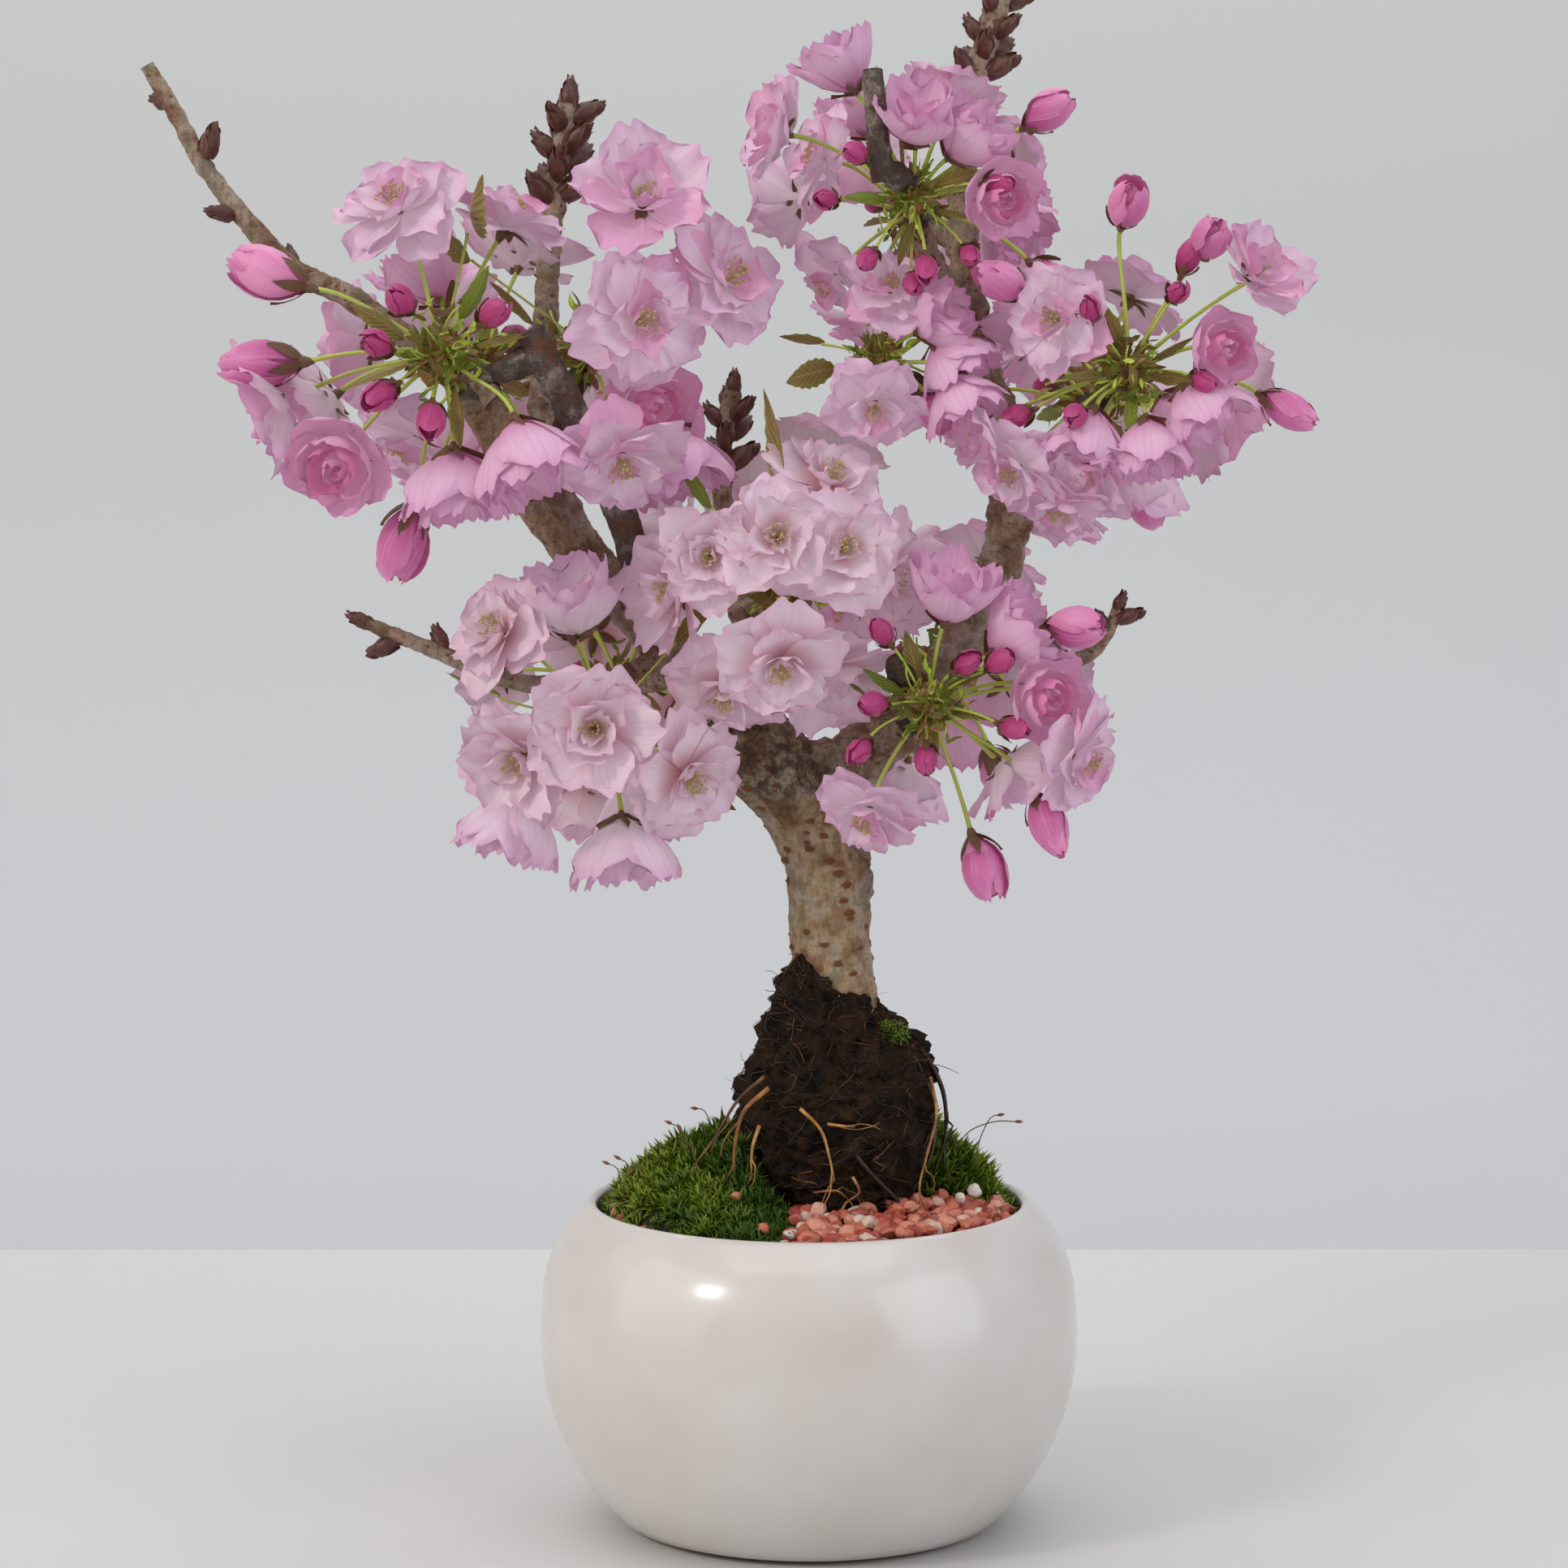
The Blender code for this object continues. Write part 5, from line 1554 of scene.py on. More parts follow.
@dataclass(frozen=True)
class Timber:
    """The trunk and every limb, with their bark's relief, and the winter buds."""

    rings: tuple[tuple[float, ...], ...] = (
        (109.0, 6.6, 0.0, 12.6), (113.0, 6.3, 0.0, 10.6), (118.0, 6.0, 0.0, 9.5), (126.0, 5.2, 0.0, 9.0),
        (135.0, 4.7, 0.0, 8.9), (144.0, 4.4, 0.0, 9.4), (152.0, 3.2, 0.0, 10.0), (159.0, 0.0, 0.0, 10.8),
        (165.0, -4.5, 0.2, 12.0), (170.5, -8.5, 0.6, 12.6), (176.0, -11.0, 1.0, 11.2), (181.0, -12.5, 1.5, 8.0),
        (183.5, -13.2, 1.8, 4.0), (184.0, -13.5, 2.0, 0.0))
    flare: float = 1.2
    flare_z: float = 118.0
    step: float = 0.9
    collar: float = 0.28
    collar_length: float = 9.0
    spur_radii: tuple[float, ...] = (2.5, 2.1, 2.4, 1.6)
    last_bud: float = 0.97

    @staticmethod
    def pore(spot: Vector) -> float:
        """Scatters pores over the bark.

        Args:
            spot: A place on it.

        Returns:
            1 on a pore and 0 off it.
        """
        distance = noise.voronoi(Vector((spot.x / 5.6, spot.y / 5.6, spot.z / 2.7)))[0][0]
        wide = 0.20 + 0.22 * lump(spot + Vector((0.0, 0.0, 31.0)), 6.0)
        return 1.0 - step_up(distance, wide - 0.07, wide + 0.07)

    @staticmethod
    def burr(spot: Vector) -> float:
        """Returns how burred the trunk is at a place: round its fork, and on a ridge to the right.

        Args:
            spot: The place.

        Returns:
            From 0, where it is smooth, to 1.
        """
        fork = step_up(spot.z, 158.0, 170.0)
        ridge = step_up(spot.z, 128.0, 146.0) * step_up(spot.x - (176.0 - spot.z) * 0.18, 4.0, 8.0)
        return min(1.0, fork + 0.8 * ridge)

    def trunk_point(self, u: float, v: float) -> Vector:
        """Returns a point of the trunk.

        Args:
            u: The share of the way round.
            v: The share of the way up.

        Returns:
            The point.
        """
        z, x, y, half = blended(self.rings, v)
        angle = math.tau * u
        out = heading(angle)
        flare = self.flare * max(0.0, (self.flare_z - z) / 9.0) * math.cos(5.0 * angle + 0.8)
        spot = Vector((x, y, z)) + out * (half + flare)
        burr = self.burr(spot)
        knobs = 0.5 - noise.voronoi(spot / 5.0)[0][0]
        rough = 0.7 * lump(spot, 6.0) + 0.30 * lump(spot, 1.6)
        knob = burr * (2.2 * lump(spot, 6.5) + 3.2 * knobs + 1.2 * lump(spot, 1.9))
        fade = min(1.0, half / 5.0)
        return spot + out * (rough + knob + 0.55 * self.pore(spot) * (1.0 - burr)) * fade

    def limb(self, piece: Piece, limb: Limb) -> None:
        """Adds one limb.

        Args:
            piece: The wood.
            limb: The limb.
        """
        route = curve(limb.bends, self.step)
        last = len(route) - 1
        radii = []
        for share in [i / last for i in range(last + 1)]:
            collar = self.collar * max(0.0, 1.0 - share * last * self.step / self.collar_length) ** 2
            radii.append(limb.radius(share) * (1.0 + collar))
        marks = BarkPainter(piece)
        knotty = limb.wood in (Wood.TWIG, Wood.GREY) and limb.name != "cut_branch"
        phase = sum(map(ord, limb.name))

        def swell(spot: Vector, _out: Vector, v: float) -> float:
            """Returns how far the bark stands out at a place."""
            size = limb.radius(v)
            rings = noise.noise(Vector((v * last * self.step / 2.1, phase, 0.0))) * 0.22 * size if knotty else 0.0
            rough = 0.14 * size * lump(spot, 4.5) + 0.24 * lump(spot, 1.1)
            return rings + rough

        def paint(vert: BMVert, v: float) -> None:
            """Sets a point's bark, darker in places and at the tip."""
            marks.set(vert, limb.wood, 0.0, 0.35 * max(0.0, lump(vert.co, 5.0)) + (0.4 if v > 0.985 else 0.0))

        tube(piece.bm, route, radii, 26, swell=swell, paint=paint)

    def spurs(self, piece: Piece) -> None:
        """Adds the short stems that carry the masses, and the dead, dark ends.

        Args:
            piece: The wood.
        """
        for mass in MASSES:
            hub = Vector(mass.hub)
            route = curve(BOUGHS[mass.bough].bends, 1.0)
            tip = route[round(mass.along * (len(route) - 1))]
            toward = (hub - tip).normalized()
            self.stub(piece, [tip - toward * 2.0, tip.lerp(hub, 0.5), hub, hub + toward * 2.0], self.spur_radii, 0.9)
        for bends, radii, dark in DEAD_WOOD:
            self.stub(piece, bends, radii, dark)

    @staticmethod
    def stub(piece: Piece, bends: Sequence[Sequence[float]], radii: Sequence[float], dark: float) -> None:
        """Adds a short, rough piece of grey wood.

        Args:
            piece: The wood.
            bends: The places that it passes.
            radii: Radii spread evenly over its length.
            dark: How dark and how rough it is, from 0 to 1.
        """
        marks = BarkPainter(piece)
        route = curve(bends, 0.8)
        sizes = [blended([(radius,) for radius in radii], i / (len(route) - 1))[0] for i in range(len(route))]
        tube(piece.bm, route, sizes, 16, swell=lambda spot, _out, _v: 0.5 * lump(spot, 1.8) * (0.4 + dark),
             paint=lambda vert, _v: marks.set(vert, Wood.GREY, 0.0, dark))

    def build(self, finish: bpy.types.Material) -> None:
        """Makes the trunk and limbs as one piece.

        Args:
            finish: The bark.
        """
        piece = Piece("bark", *BARK_MARKS)
        marks = BarkPainter(piece)

        def paint(vert: BMVert, u: float, v: float) -> None:
            """Sets a point's bark from its place on the trunk's plain shape."""
            z, x, y, half = blended(self.rings, v)
            angle = math.tau * u
            spot = Vector((x + half * math.cos(angle), y + half * math.sin(angle), z))
            burr = self.burr(spot)
            marks.set(vert, Wood.TRUNK, self.pore(spot) * (1.0 - 0.7 * burr), burr)

        weld(piece.bm, sheet(piece.bm, 150, 210, self.trunk_point, paint=paint))
        for limb in LIMBS:
            self.limb(piece, limb)
        self.spurs(piece)
        piece.face_out()
        piece.done(finish, ["trunk", *BOUGHS], 60.0)

    @staticmethod
    def bud() -> bpy.types.Mesh:
        """Makes a winter bud, clad in scales.

        Returns:
            A bud of length 1 that points along +Z.
        """
        piece = Piece("bud")
        core = [Vector((0.0, 0.0, z)) for z in (-0.10, 0.05, 0.25, 0.45, 0.65, 0.82, 1.0)]
        tube(piece.bm, core, (0.10, 0.20, 0.27, 0.27, 0.20, 0.11, 0.02), 8, Green.WINTER)
        dice = random.Random(3)
        for number in range(12):
            whorl = Whorl(1, 0.46, 0.46, 66.0, 50.0, -0.02 + 0.050 * number, hug=0.95, cup=0.0, ruffle=0.01,
                          roll=0.0, pointed=True, foot_r=0.215 - 0.009 * number)
            petal(piece.bm, whorl, 1.0, GOLDEN_TURN * number, dice, Green.WINTER, 4, 4)
        return piece.mesh()

    def build_buds(self, finish: bpy.types.Material) -> None:
        """Makes every winter bud.

        Args:
            finish: The buds' material.
        """
        piece = Piece("winter_buds")
        bud = self.bud()
        for limb in LIMBS:
            route = curve(limb.bends, 11.0)
            for number in range(limb.buds):
                share = limb.buds_from + (self.last_bud - limb.buds_from) * (number + 0.5) / limb.buds
                spot = share * (len(route) - 1)
                i = min(int(spot), len(route) - 2)
                ahead = (route[i + 1] - route[i]).normalized()
                out = Matrix.Rotation(GOLDEN_TURN * number + 0.6, 3, ahead) @ ahead.orthogonal().normalized()
                foot = route[i].lerp(route[i + 1], spot - i) + out * limb.radius(i / (len(route) - 1)) * 0.55
                length = limb.bud * (0.85 + 0.15 * (number % 3))
                piece.add(bud, aimed(foot, (ahead * 0.85 + out).normalized(), 1.1 * number, length))
            if limb.buds and limb.end_bud:
                ahead = (route[-1] - route[-2]).normalized()
                piece.add(bud, aimed(route[-1] - ahead * limb.tip_r * 0.8, ahead, 0.4, limb.bud * 0.9))
        bpy.data.meshes.remove(bud)
        piece.done(finish)


# ---------------------------------------------------------------- blossom

@dataclass(frozen=True)
class Whorl:
    """Petals set evenly round an axis, in shares of the flower's radius and in degrees."""

    count: int
    length: float
    width: float
    lift: float
    curl: float
    foot: float
    hug: float = 0.0
    cup: float = 0.12
    ruffle: float = 0.05
    roll: float = 9.0
    notch: float = 0.09
    pointed: bool = False
    foot_r: float = 0.05
    twist: float = 0.0
    teeth: float = 0.009
    loose: float = 1.0


WIDEST = 0.62                   # where a petal is widest, as a share of its length
SHOULDER = 0.19                 # how much shorter it is at its sides
NOTCH_HALF = 0.22               # half the width of its notch, as a share of its own
OVERLAP = 0.045                 # how far one side stands inside the next petal
MOST_WRAP = 1.7                 # how far a hugging petal goes round, in radians
LEAST_WRAP_R = 0.22             # the least radius that it wraps to, as a share of the flower's


def outline(v: float, pointed: bool) -> float:
    """Draws a petal's or a scale's side.

    Args:
        v: The share of its length.
        pointed: Whether it ends in a point.

    Returns:
        Its half width there, as a share of its widest.
    """
    if pointed:
        return math.sin(math.pi * min(1.0, 0.06 + 0.94 * v) ** 0.75) ** 0.85 + 0.01
    if v < WIDEST:
        return 0.14 + 0.86 * math.sin(0.5 * math.pi * v / WIDEST) ** 1.15
    return 1.0 - 0.44 * ((v - WIDEST) / (1.0 - WIDEST)) ** 2


def petal(bm: BMesh, whorl: Whorl, radius: float, turn: float, dice: random.Random, cell: Cell,
          across: int = 11, along: int = 5) -> None:
    """Adds one petal.

    Args:
        bm: The mesh.
        whorl: The whorl that it stands in.
        radius: The flower's radius.
        turn: Its angle round the flower.
        dice: Gives it its own shape.
        cell: The atlas cell that it is drawn on.
        across: Faces across it.
        along: Faces along it.
    """
    length = whorl.length * radius * dice.uniform(1.0 - 0.08 * whorl.loose, 1.05)
    width = whorl.width * radius * dice.uniform(1.0 - 0.10 * whorl.loose, 1.08)
    lift = math.radians(whorl.lift + whorl.loose * dice.uniform(-5.0, 5.0))
    curl = math.radians(whorl.curl + whorl.loose * dice.uniform(-8.0, 8.0)) or 0.01
    phase = dice.uniform(0.0, math.tau)
    waves = dice.uniform(1.0, 1.9)
    roll = math.tan(math.radians(whorl.roll + dice.uniform(-4.0, 4.0)))
    tooth = [dice.uniform(0.0, whorl.teeth) * (2.0 if k % 2 else 0.4) for k in range(across + 1)]

    def place(u: float, v: float) -> Vector:
        """Returns a point of the petal."""
        s = 2.0 * u - 1.0
        half = 0.5 * width * outline(v, whorl.pointed)
        x = s * half
        if whorl.pointed:
            t = v
        else:
            short = SHOULDER * s * s + whorl.notch * math.exp(-(s / NOTCH_HALF) ** 2) + tooth[round(u * across)]
            t = v * (1.0 - short * v ** 3)
        slope = lift + curl * t
        reach = length / curl * (math.sin(slope) - math.sin(lift)) + whorl.foot_r * radius
        rise = length / curl * (math.cos(lift) - math.cos(slope)) + whorl.foot * radius
        wave = whorl.ruffle * radius * v * v * math.sin(math.tau * waves * u + phase)
        off = whorl.cup * half * s * s * 2.0 + wave + roll * x * (1.0 - whorl.hug)
        if whorl.hug:
            off -= OVERLAP * radius * s
        reach -= math.sin(slope) * off
        rise += math.cos(slope) * off
        wrap = max(-MOST_WRAP, min(MOST_WRAP, x / max(abs(reach), LEAST_WRAP_R * radius)))
        far = reach + (reach * math.cos(wrap) - reach) * whorl.hug
        side = x + (reach * math.sin(wrap) - x) * whorl.hug
        angle = turn + whorl.twist * v
        return Vector((far * math.cos(angle) - side * math.sin(angle),
                       far * math.sin(angle) + side * math.cos(angle), rise))

    sheet(bm, across, along, place, cell)


def leaf(bm: BMesh, length: float, half_width: float, green: Green, dice: random.Random, rows: int = 10,
         wild: float = 1.0) -> None:
    """Adds a toothed leaf about the origin that points along +Z.

    Args:
        bm: The mesh.
        length: Half its length.
        half_width: Half its width.
        green: The atlas cell that it is drawn on.
        dice: Gives it its own shape.
        rows: Faces along it.
        wild: How far it bows and sways.
    """
    fold = dice.uniform(0.25, 0.6)
    bow = dice.uniform(0.06, 0.22) * wild
    sway = dice.uniform(-0.12, 0.12) * wild

    def place(u: float, v: float) -> Vector:
        """Returns a point of the leaf."""
        s = 2.0 * u - 1.0
        teeth = 1.0 + (0.16 if abs(s) > 0.9 and round(v * rows) % 2 else 0.0)
        half = half_width * (math.sin(math.pi * (0.03 + 0.97 * v) ** 0.85) ** 0.9 * (1.0 - 0.15 * v) + 0.03) * teeth
        z = length * (2.0 * v - 1.0)
        return Vector((s * half + sway * length * v * v,
                       bow * length * (2.0 * v - 1.0) ** 2 + fold * abs(s) * half, z))

    sheet(bm, 4, rows, place, green)


CUP_FALL = 0.75                 # how far a cup hangs, unless it stands up from its hub
CUP_FALL_TILT = 0.25            # how far up it may look out and still hang
TURNED_OUT = (0.45, 1.2, 0.8)   # how far open flowers look outwards, by turns
PLAIN_OUT = (0.1, 0.9, 0.5)
OPEN_FALL = (0.0, 0.25, 0.1)    # how far they look down


class Kind(Enum):
    """The letters of a mass's places: radius, depth of the foot behind the centre, droop, stalk."""

    OPEN = ("O", 17.0, 5.0, 0.05, 0.62)
    CUP = ("C", 12.0, 11.0, 0.30, 0.60)
    ROSETTE = ("R", 11.5, 7.5, 0.10, 0.62)
    BUD = ("B", 6.3, 10.0, 0.10, 0.60)
    SMALL_BUD = ("b", 4.2, 5.5, 0.05, 0.42)
    LEAF = ("L", 4.6, 14.0, -0.10, 0.45)
    SMALL_LEAF = ("l", 2.6, 7.0, -0.05, 0.36)

    def __init__(self, letter: str, radius: float, foot: float, droop: float, stalk: float) -> None:
        """Names the kind's sizes.

        Args:
            letter: Its letter among a ring's places.
            radius: Its radius.
            foot: How far behind its centre its stalk ends.
            droop: How far it looks down.
            stalk: Its stalk's radius.
        """
        self.letter = letter
        self.radius = radius
        self.foot = foot
        self.droop = droop
        self.stalk = stalk

    def drape(self, aim: Vector, out: Vector, number: int, turned: bool) -> Vector:
        """Turns the finer flower: cups hang, and open flowers look outwards a little.

        Args:
            aim: The way that its solid faces.
            out: The way out from the hub.
            number: Its number in the mass.
            turned: Whether the mass shows more of its flowers from the side.

        Returns:
            The way that it faces.
        """
        if self is Kind.CUP:
            return (aim * 0.08 + out * 0.70 - UP * (CUP_FALL if out.z < CUP_FALL_TILT else 0.0)).normalized()
        if self is Kind.OPEN:
            share = (TURNED_OUT if turned else PLAIN_OUT)[number % 3]
            return (aim + out * share - UP * OPEN_FALL[number % 3]).normalized()
        return aim

    def rim(self) -> list[Vector]:
        """Lists the points of its solid by which it is known.

        Returns:
            Points about the flower's centre, or none for the small kinds.
        """
        if self is Kind.OPEN:
            corners = ((-36, 0.68), (-17, 1), (17, 1))
            turns = [(72.0 * k + offset, share) for k in range(5) for offset, share in corners]
            return [Vector((self.radius * share * math.cos(math.radians(turn)),
                            self.radius * share * math.sin(math.radians(turn)),
                            self.radius * (0.10 if share == 1 else 0.02))) for turn, share in turns]
        if self is Kind.LEAF:
            bow = 0.1 * self.foot
            return [Vector((0.0, bow, -self.foot)), Vector((0.0, bow, self.foot)),
                    Vector((self.radius, bow * 0.01, -0.1 * self.foot)),
                    Vector((-self.radius, bow * 0.01, -0.1 * self.foot))]
        rings = {Kind.CUP: ((10, 0.98, 0.50, 0.84, 0.0), (5, 0.96, -0.10, 1.0, 0.0)),
                 Kind.ROSETTE: ((10, 1.0, 0.12, 0.90, 0.0), (5, 0.60, 0.46, 1.0, 0.0)),
                 Kind.BUD: ((5, 1.0, 0.24 * self.foot / self.radius, 1.0, 0.6),
                            (5, 0.70, -0.44 * self.foot / self.radius, 1.0, 0.0))}
        points = []
        for count, share, height, inset, start in rings.get(self, ()):
            for k in range(count):
                reach = self.radius * share * (inset if k % 2 else 1.0)
                turn = start + math.tau * k / count
                points.append(Vector((reach * math.cos(turn), reach * math.sin(turn), height * self.radius)))
        return points


KINDS = {kind.letter: kind for kind in Kind}
WHITE_MASSES = ("centre", "lower_left", "rear_centre", "rear_lower_left")
TURNED_MASSES = WHITE_MASSES + ("upper_middle",)


@dataclass(frozen=True)
class Ring:
    """Places set evenly round a hub: tilt to the front, first angle, reach, facing, and letters."""

    tilt: float
    start: float
    reach: float
    face: float
    places: str


FRONT = -90.0                   # the ways that masses face, in degrees from +X
REAR = 90.0
TRIES = ((0.0, 1.0), (7.0, 0.96), (-7.0, 0.96), (12.0, 0.86), (-12.0, 0.86), (0.0, 0.74))   # turn and shrink
ANGLE_SWAY = 3.0                # how far a place strays, in degrees
TILT_SWAY = 6.0
REACH_SWAY = 0.05               # and as shares
AIM_SWAY = 0.16
RIM_MISS = 0.06                 # how far a point of a rim may lie from its solid
RIM_SHARE = 0.4                 # the share of a rim that has to be found
HUB_R = 4.2                     # of the knob that a mass's stalks leave
REAR_RINGS = (Ring(4, 10, 27, 0.35, "O.C.O..O.B.O.."), Ring(52, 55, 24, 0.80, "O.OC."),
              Ring(-30, 30, 27, 0.10, "O...C..O."), Ring(45, 20, 12, 0.3, "b.lb.lb.l"))


@dataclass(frozen=True)
class Mass:
    """A mass of blossom on one hub, which leaves its bough at a share of its length."""

    name: str
    bough: str
    hub: Point
    front: float
    size: float
    seed: int
    rings: tuple[Ring, ...]
    along: float = 1.0

    def places(self) -> Iterator[tuple[Kind, bool, list[tuple[Vector, Vector, float, Vector]]]]:
        """Goes through the places.

        Yields:
            The place's kind, whether no solid shows it, and its trial frames: centre, facing, spin, way out.
        """
        dice = random.Random(self.seed)
        front = heading(math.radians(self.front))
        right = UP.cross(front)
        for ring in self.rings:
            for number, letter in enumerate(ring.places):
                draws = [dice.uniform(-1.0, 1.0) for _ in range(6)]
                kind = KINDS.get(letter, KINDS.get(letter.upper()))
                if not kind:
                    continue
                frames = []
                for turn, shrink in TRIES:
                    angle = math.radians(ring.start + 360.0 * number / len(ring.places) + ANGLE_SWAY * draws[0] + turn)
                    tilt = math.radians(ring.tilt + TILT_SWAY * draws[1])
                    out = (right * math.cos(angle) + UP * math.sin(angle)) * math.cos(tilt) + front * math.sin(tilt)
                    sway = right * draws[3] + UP * draws[4]
                    aim = out * (1.0 - ring.face) + front * ring.face + sway * AIM_SWAY - UP * kind.droop
                    reach = ring.reach * (1.0 + REACH_SWAY * draws[2]) * shrink
                    frames.append((Vector(self.hub) + out * reach, aim.normalized(), math.pi * draws[5], out))
                yield kind, letter.islower(), frames

    def kept(self) -> Iterator[tuple[Kind, Vector, Vector, float, Vector]]:
        """Goes through the places that the mass's solid holds, and all that no solid shows.

        Yields:
            The place's kind, centre, facing, spin and way out.
        """
        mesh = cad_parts[self.name].data
        tree = BVHTree.FromPolygons([vert.co for vert in mesh.vertices], [face.vertices for face in mesh.polygons])
        for kind, extra, frames in self.places():
            rim = [] if extra else kind.rim()
            for centre, aim, spin, out in frames:
                matrix = aimed(centre, aim, spin, self.size)
                near = sum(1 for point in rim if tree.find_nearest((matrix @ point) * MM, RIM_MISS * MM)[0])
                if near >= RIM_SHARE * len(rim):
                    yield kind, centre, aim, spin, out
                    break


MASSES = (
    Mass("blossom_upper_left", "pale_bough", (-80.0, -14.0, 262.5), FRONT, 1.0, 11, (
        Ring(4, 3, 32, 0.75, "...L.L.O.......R..C....."), Ring(24, 309, 33, 0.60, "C"),
        Ring(-6, 3, 41, 0.0, "..........B.B....B......"), Ring(-26, 200, 34, 0.35, "O.C..O.O"),
        Ring(38, 171, 18, 0.25, "bbb..b.b"), Ring(15, 60, 15, 0.1, "l.ll.l.l"), Ring(-10, 200, 41, 0.35, "o"))),
    Mass("blossom_upper_middle", "left_bough", (-49.0, -1.0, 264.0), FRONT, 1.0, 23, (
        Ring(10, 66, 35, 0.6, "O.l...C.O"), Ring(20, -53, 23, 0.7, "R"), Ring(48, 24, 22, 0.8, "O"),
        Ring(-20, 150, 22, 0.2, "l...O."), Ring(36, -72, 33, 0.75, "o")), 0.80),
    Mass("blossom_centre", "centre_bough", (-7.0, -15.0, 212.0), FRONT, 0.92, 37, (
        Ring(4, 2, 25, 0.7, "OOOOOO"), Ring(52, 32, 24, 0.8, "ORO"), Ring(0, 92, 30, 0.0, "Ll....l..."),
        Ring(-34, 10, 24, 0.2, "O..O.O."), Ring(60, 92, 25, 0.85, "o"))),
    Mass("blossom_lower_left", "lower_left_bough", (-46.0, -10.0, 181.0), FRONT, 0.95, 41, (
        Ring(12, 103, 31, 0.65, "CO...C.CO....."), Ring(36, 211, 26, 0.8, "O.OR.R"), Ring(84, 100, 27, 0.95, "O"),
        Ring(-26, 160, 26, 0.15, "O..CO..b"), Ring(-4, 165, 30, 0.0, "l...l.l.."))),
    Mass("blossom_inner_right", "inner_bough", (15.5, -7.0, 262.0), FRONT, 0.74, 71, (
        Ring(16, 31, 18, 0.6, "CO..LO.Bc"), Ring(-24, 80, 20, 0.2, "O.l.O.l."), Ring(48, 262, 15, 0.9, "o"),
        Ring(24, 332, 23, 0.5, "c"))),
    Mass("blossom_top", "top_bough", (22.6, -8.0, 296.5), FRONT, 0.78, 53, (
        Ring(0, 31, 34, 0.45, "B..COOL...B."), Ring(20, 0, 20, 0.6, "RCC.b.bb"), Ring(-26, 60, 27, 0.2, "O.O..C.O"),
        Ring(20, 20, 11, 0.1, "l.lll.l.l"), Ring(34, 280, 20, 0.3, "b.b..b.b"))),
    Mass("blossom_right", "right_side_bough", (69.5, -13.0, 258.5), FRONT, 0.80, 67, (
        Ring(0, 40, 34, 0.45, "OB.B.OB..O.OC....B.."), Ring(20, 13, 20, 0.6, "Rb.olCCC"),
        Ring(-28, 350, 29, 0.2, "O...C..O."), Ring(20, 30, 11, 0.1, "l.lll.l.l"), Ring(4, 222, 34, 0.7, "o"),
        Ring(14, 246, 25, 0.6, "o"), Ring(36, 350, 19, 0.3, "b..b.b.."), Ring(6, 20, 26, 0.2, ".b..b..."))),
    Mass("blossom_lower_right", "lower_right_bough", (25.5, -20.0, 186.5), FRONT, 0.86, 83, (
        Ring(0, 28, 37, 0.4, "B..........BBO."), Ring(10, 0, 26, 0.6, "RCC..LO.."), Ring(38, 180, 14, 0.2, "b.b..b.."),
        Ring(-22, 20, 30, 0.2, "O.C....O"), Ring(18, 30, 11, 0.1, "l.lll.l.l"), Ring(30, 300, 21, 0.3, ".bb.b.b."))),
    Mass("blossom_rear_upper_left", "rear_upper_left_bough", (-75.5, 42.0, 260.0), REAR, 0.94, 101, REAR_RINGS),
    Mass("blossom_rear_centre", "rear_centre_bough", (-4.0, 42.0, 215.0), REAR, 0.90, 103, REAR_RINGS),
    Mass("blossom_rear_lower_left", "rear_lower_left_bough", (-43.0, 35.0, 186.0), REAR, 0.92, 107, REAR_RINGS),
    Mass("blossom_rear_lower_right", "rear_lower_right_bough", (31.0, 33.0, 190.5), REAR, 0.86, 109, REAR_RINGS),
    Mass("blossom_rear_top", "rear_top_bough", (23.5, 36.0, 295.0), REAR, 0.76, 113, REAR_RINGS),
    Mass("blossom_rear_right", "rear_right_bough", (64.0, 33.0, 252.0), REAR, 0.86, 127, REAR_RINGS),
)

OPEN_WHORLS = (
    (Whorl(5, 1.00, 0.98, 3.0, -12.0, -0.10, notch=0.12, loose=1.7), Tint.PALE),
    (Whorl(5, 0.86, 0.84, 16.0, -6.0, -0.09, cup=0.18, notch=0.12, loose=2.0), Tint.PALE),
    (Whorl(4, 0.64, 0.60, 34.0, 10.0, -0.06, cup=0.26, loose=2.2), Tint.PALE),
    (Whorl(3, 0.42, 0.34, 54.0, 20.0, -0.04, cup=0.36, loose=2.2), Tint.ROSY),
)
TRUMPET_WHORLS = (
    (Whorl(5, 1.12, 1.02, 20.0, 6.0, -0.22, notch=0.12, loose=2.2), Tint.PALE),
    (Whorl(5, 1.02, 0.90, 31.0, 4.0, -0.21, cup=0.16, notch=0.12, loose=2.4), Tint.PALE),
    (Whorl(4, 0.76, 0.62, 46.0, 8.0, -0.18, cup=0.24, loose=2.4), Tint.ROSY),
    (Whorl(2, 0.50, 0.36, 62.0, 12.0, -0.15, cup=0.30, loose=2.4), Tint.PALE),
)
CUP_WHORLS = (
    (Whorl(5, 1.86, 1.44, 20.0, 62.0, -0.80, hug=0.75, cup=0.05, ruffle=0.05, roll=5.0, teeth=0.022), Tint.BELL),
    (Whorl(5, 1.76, 1.30, 28.0, 56.0, -0.77, hug=0.75, cup=0.05, ruffle=0.05, roll=5.0, teeth=0.022), Tint.BELL),
    (Whorl(3, 1.50, 1.00, 44.0, 40.0, -0.72, hug=0.6, cup=0.08, ruffle=0.06), Tint.BELL),
    (Whorl(2, 1.20, 0.80, 60.0, 20.0, -0.70, hug=0.5, ruffle=0.06), Tint.ROSY),
)
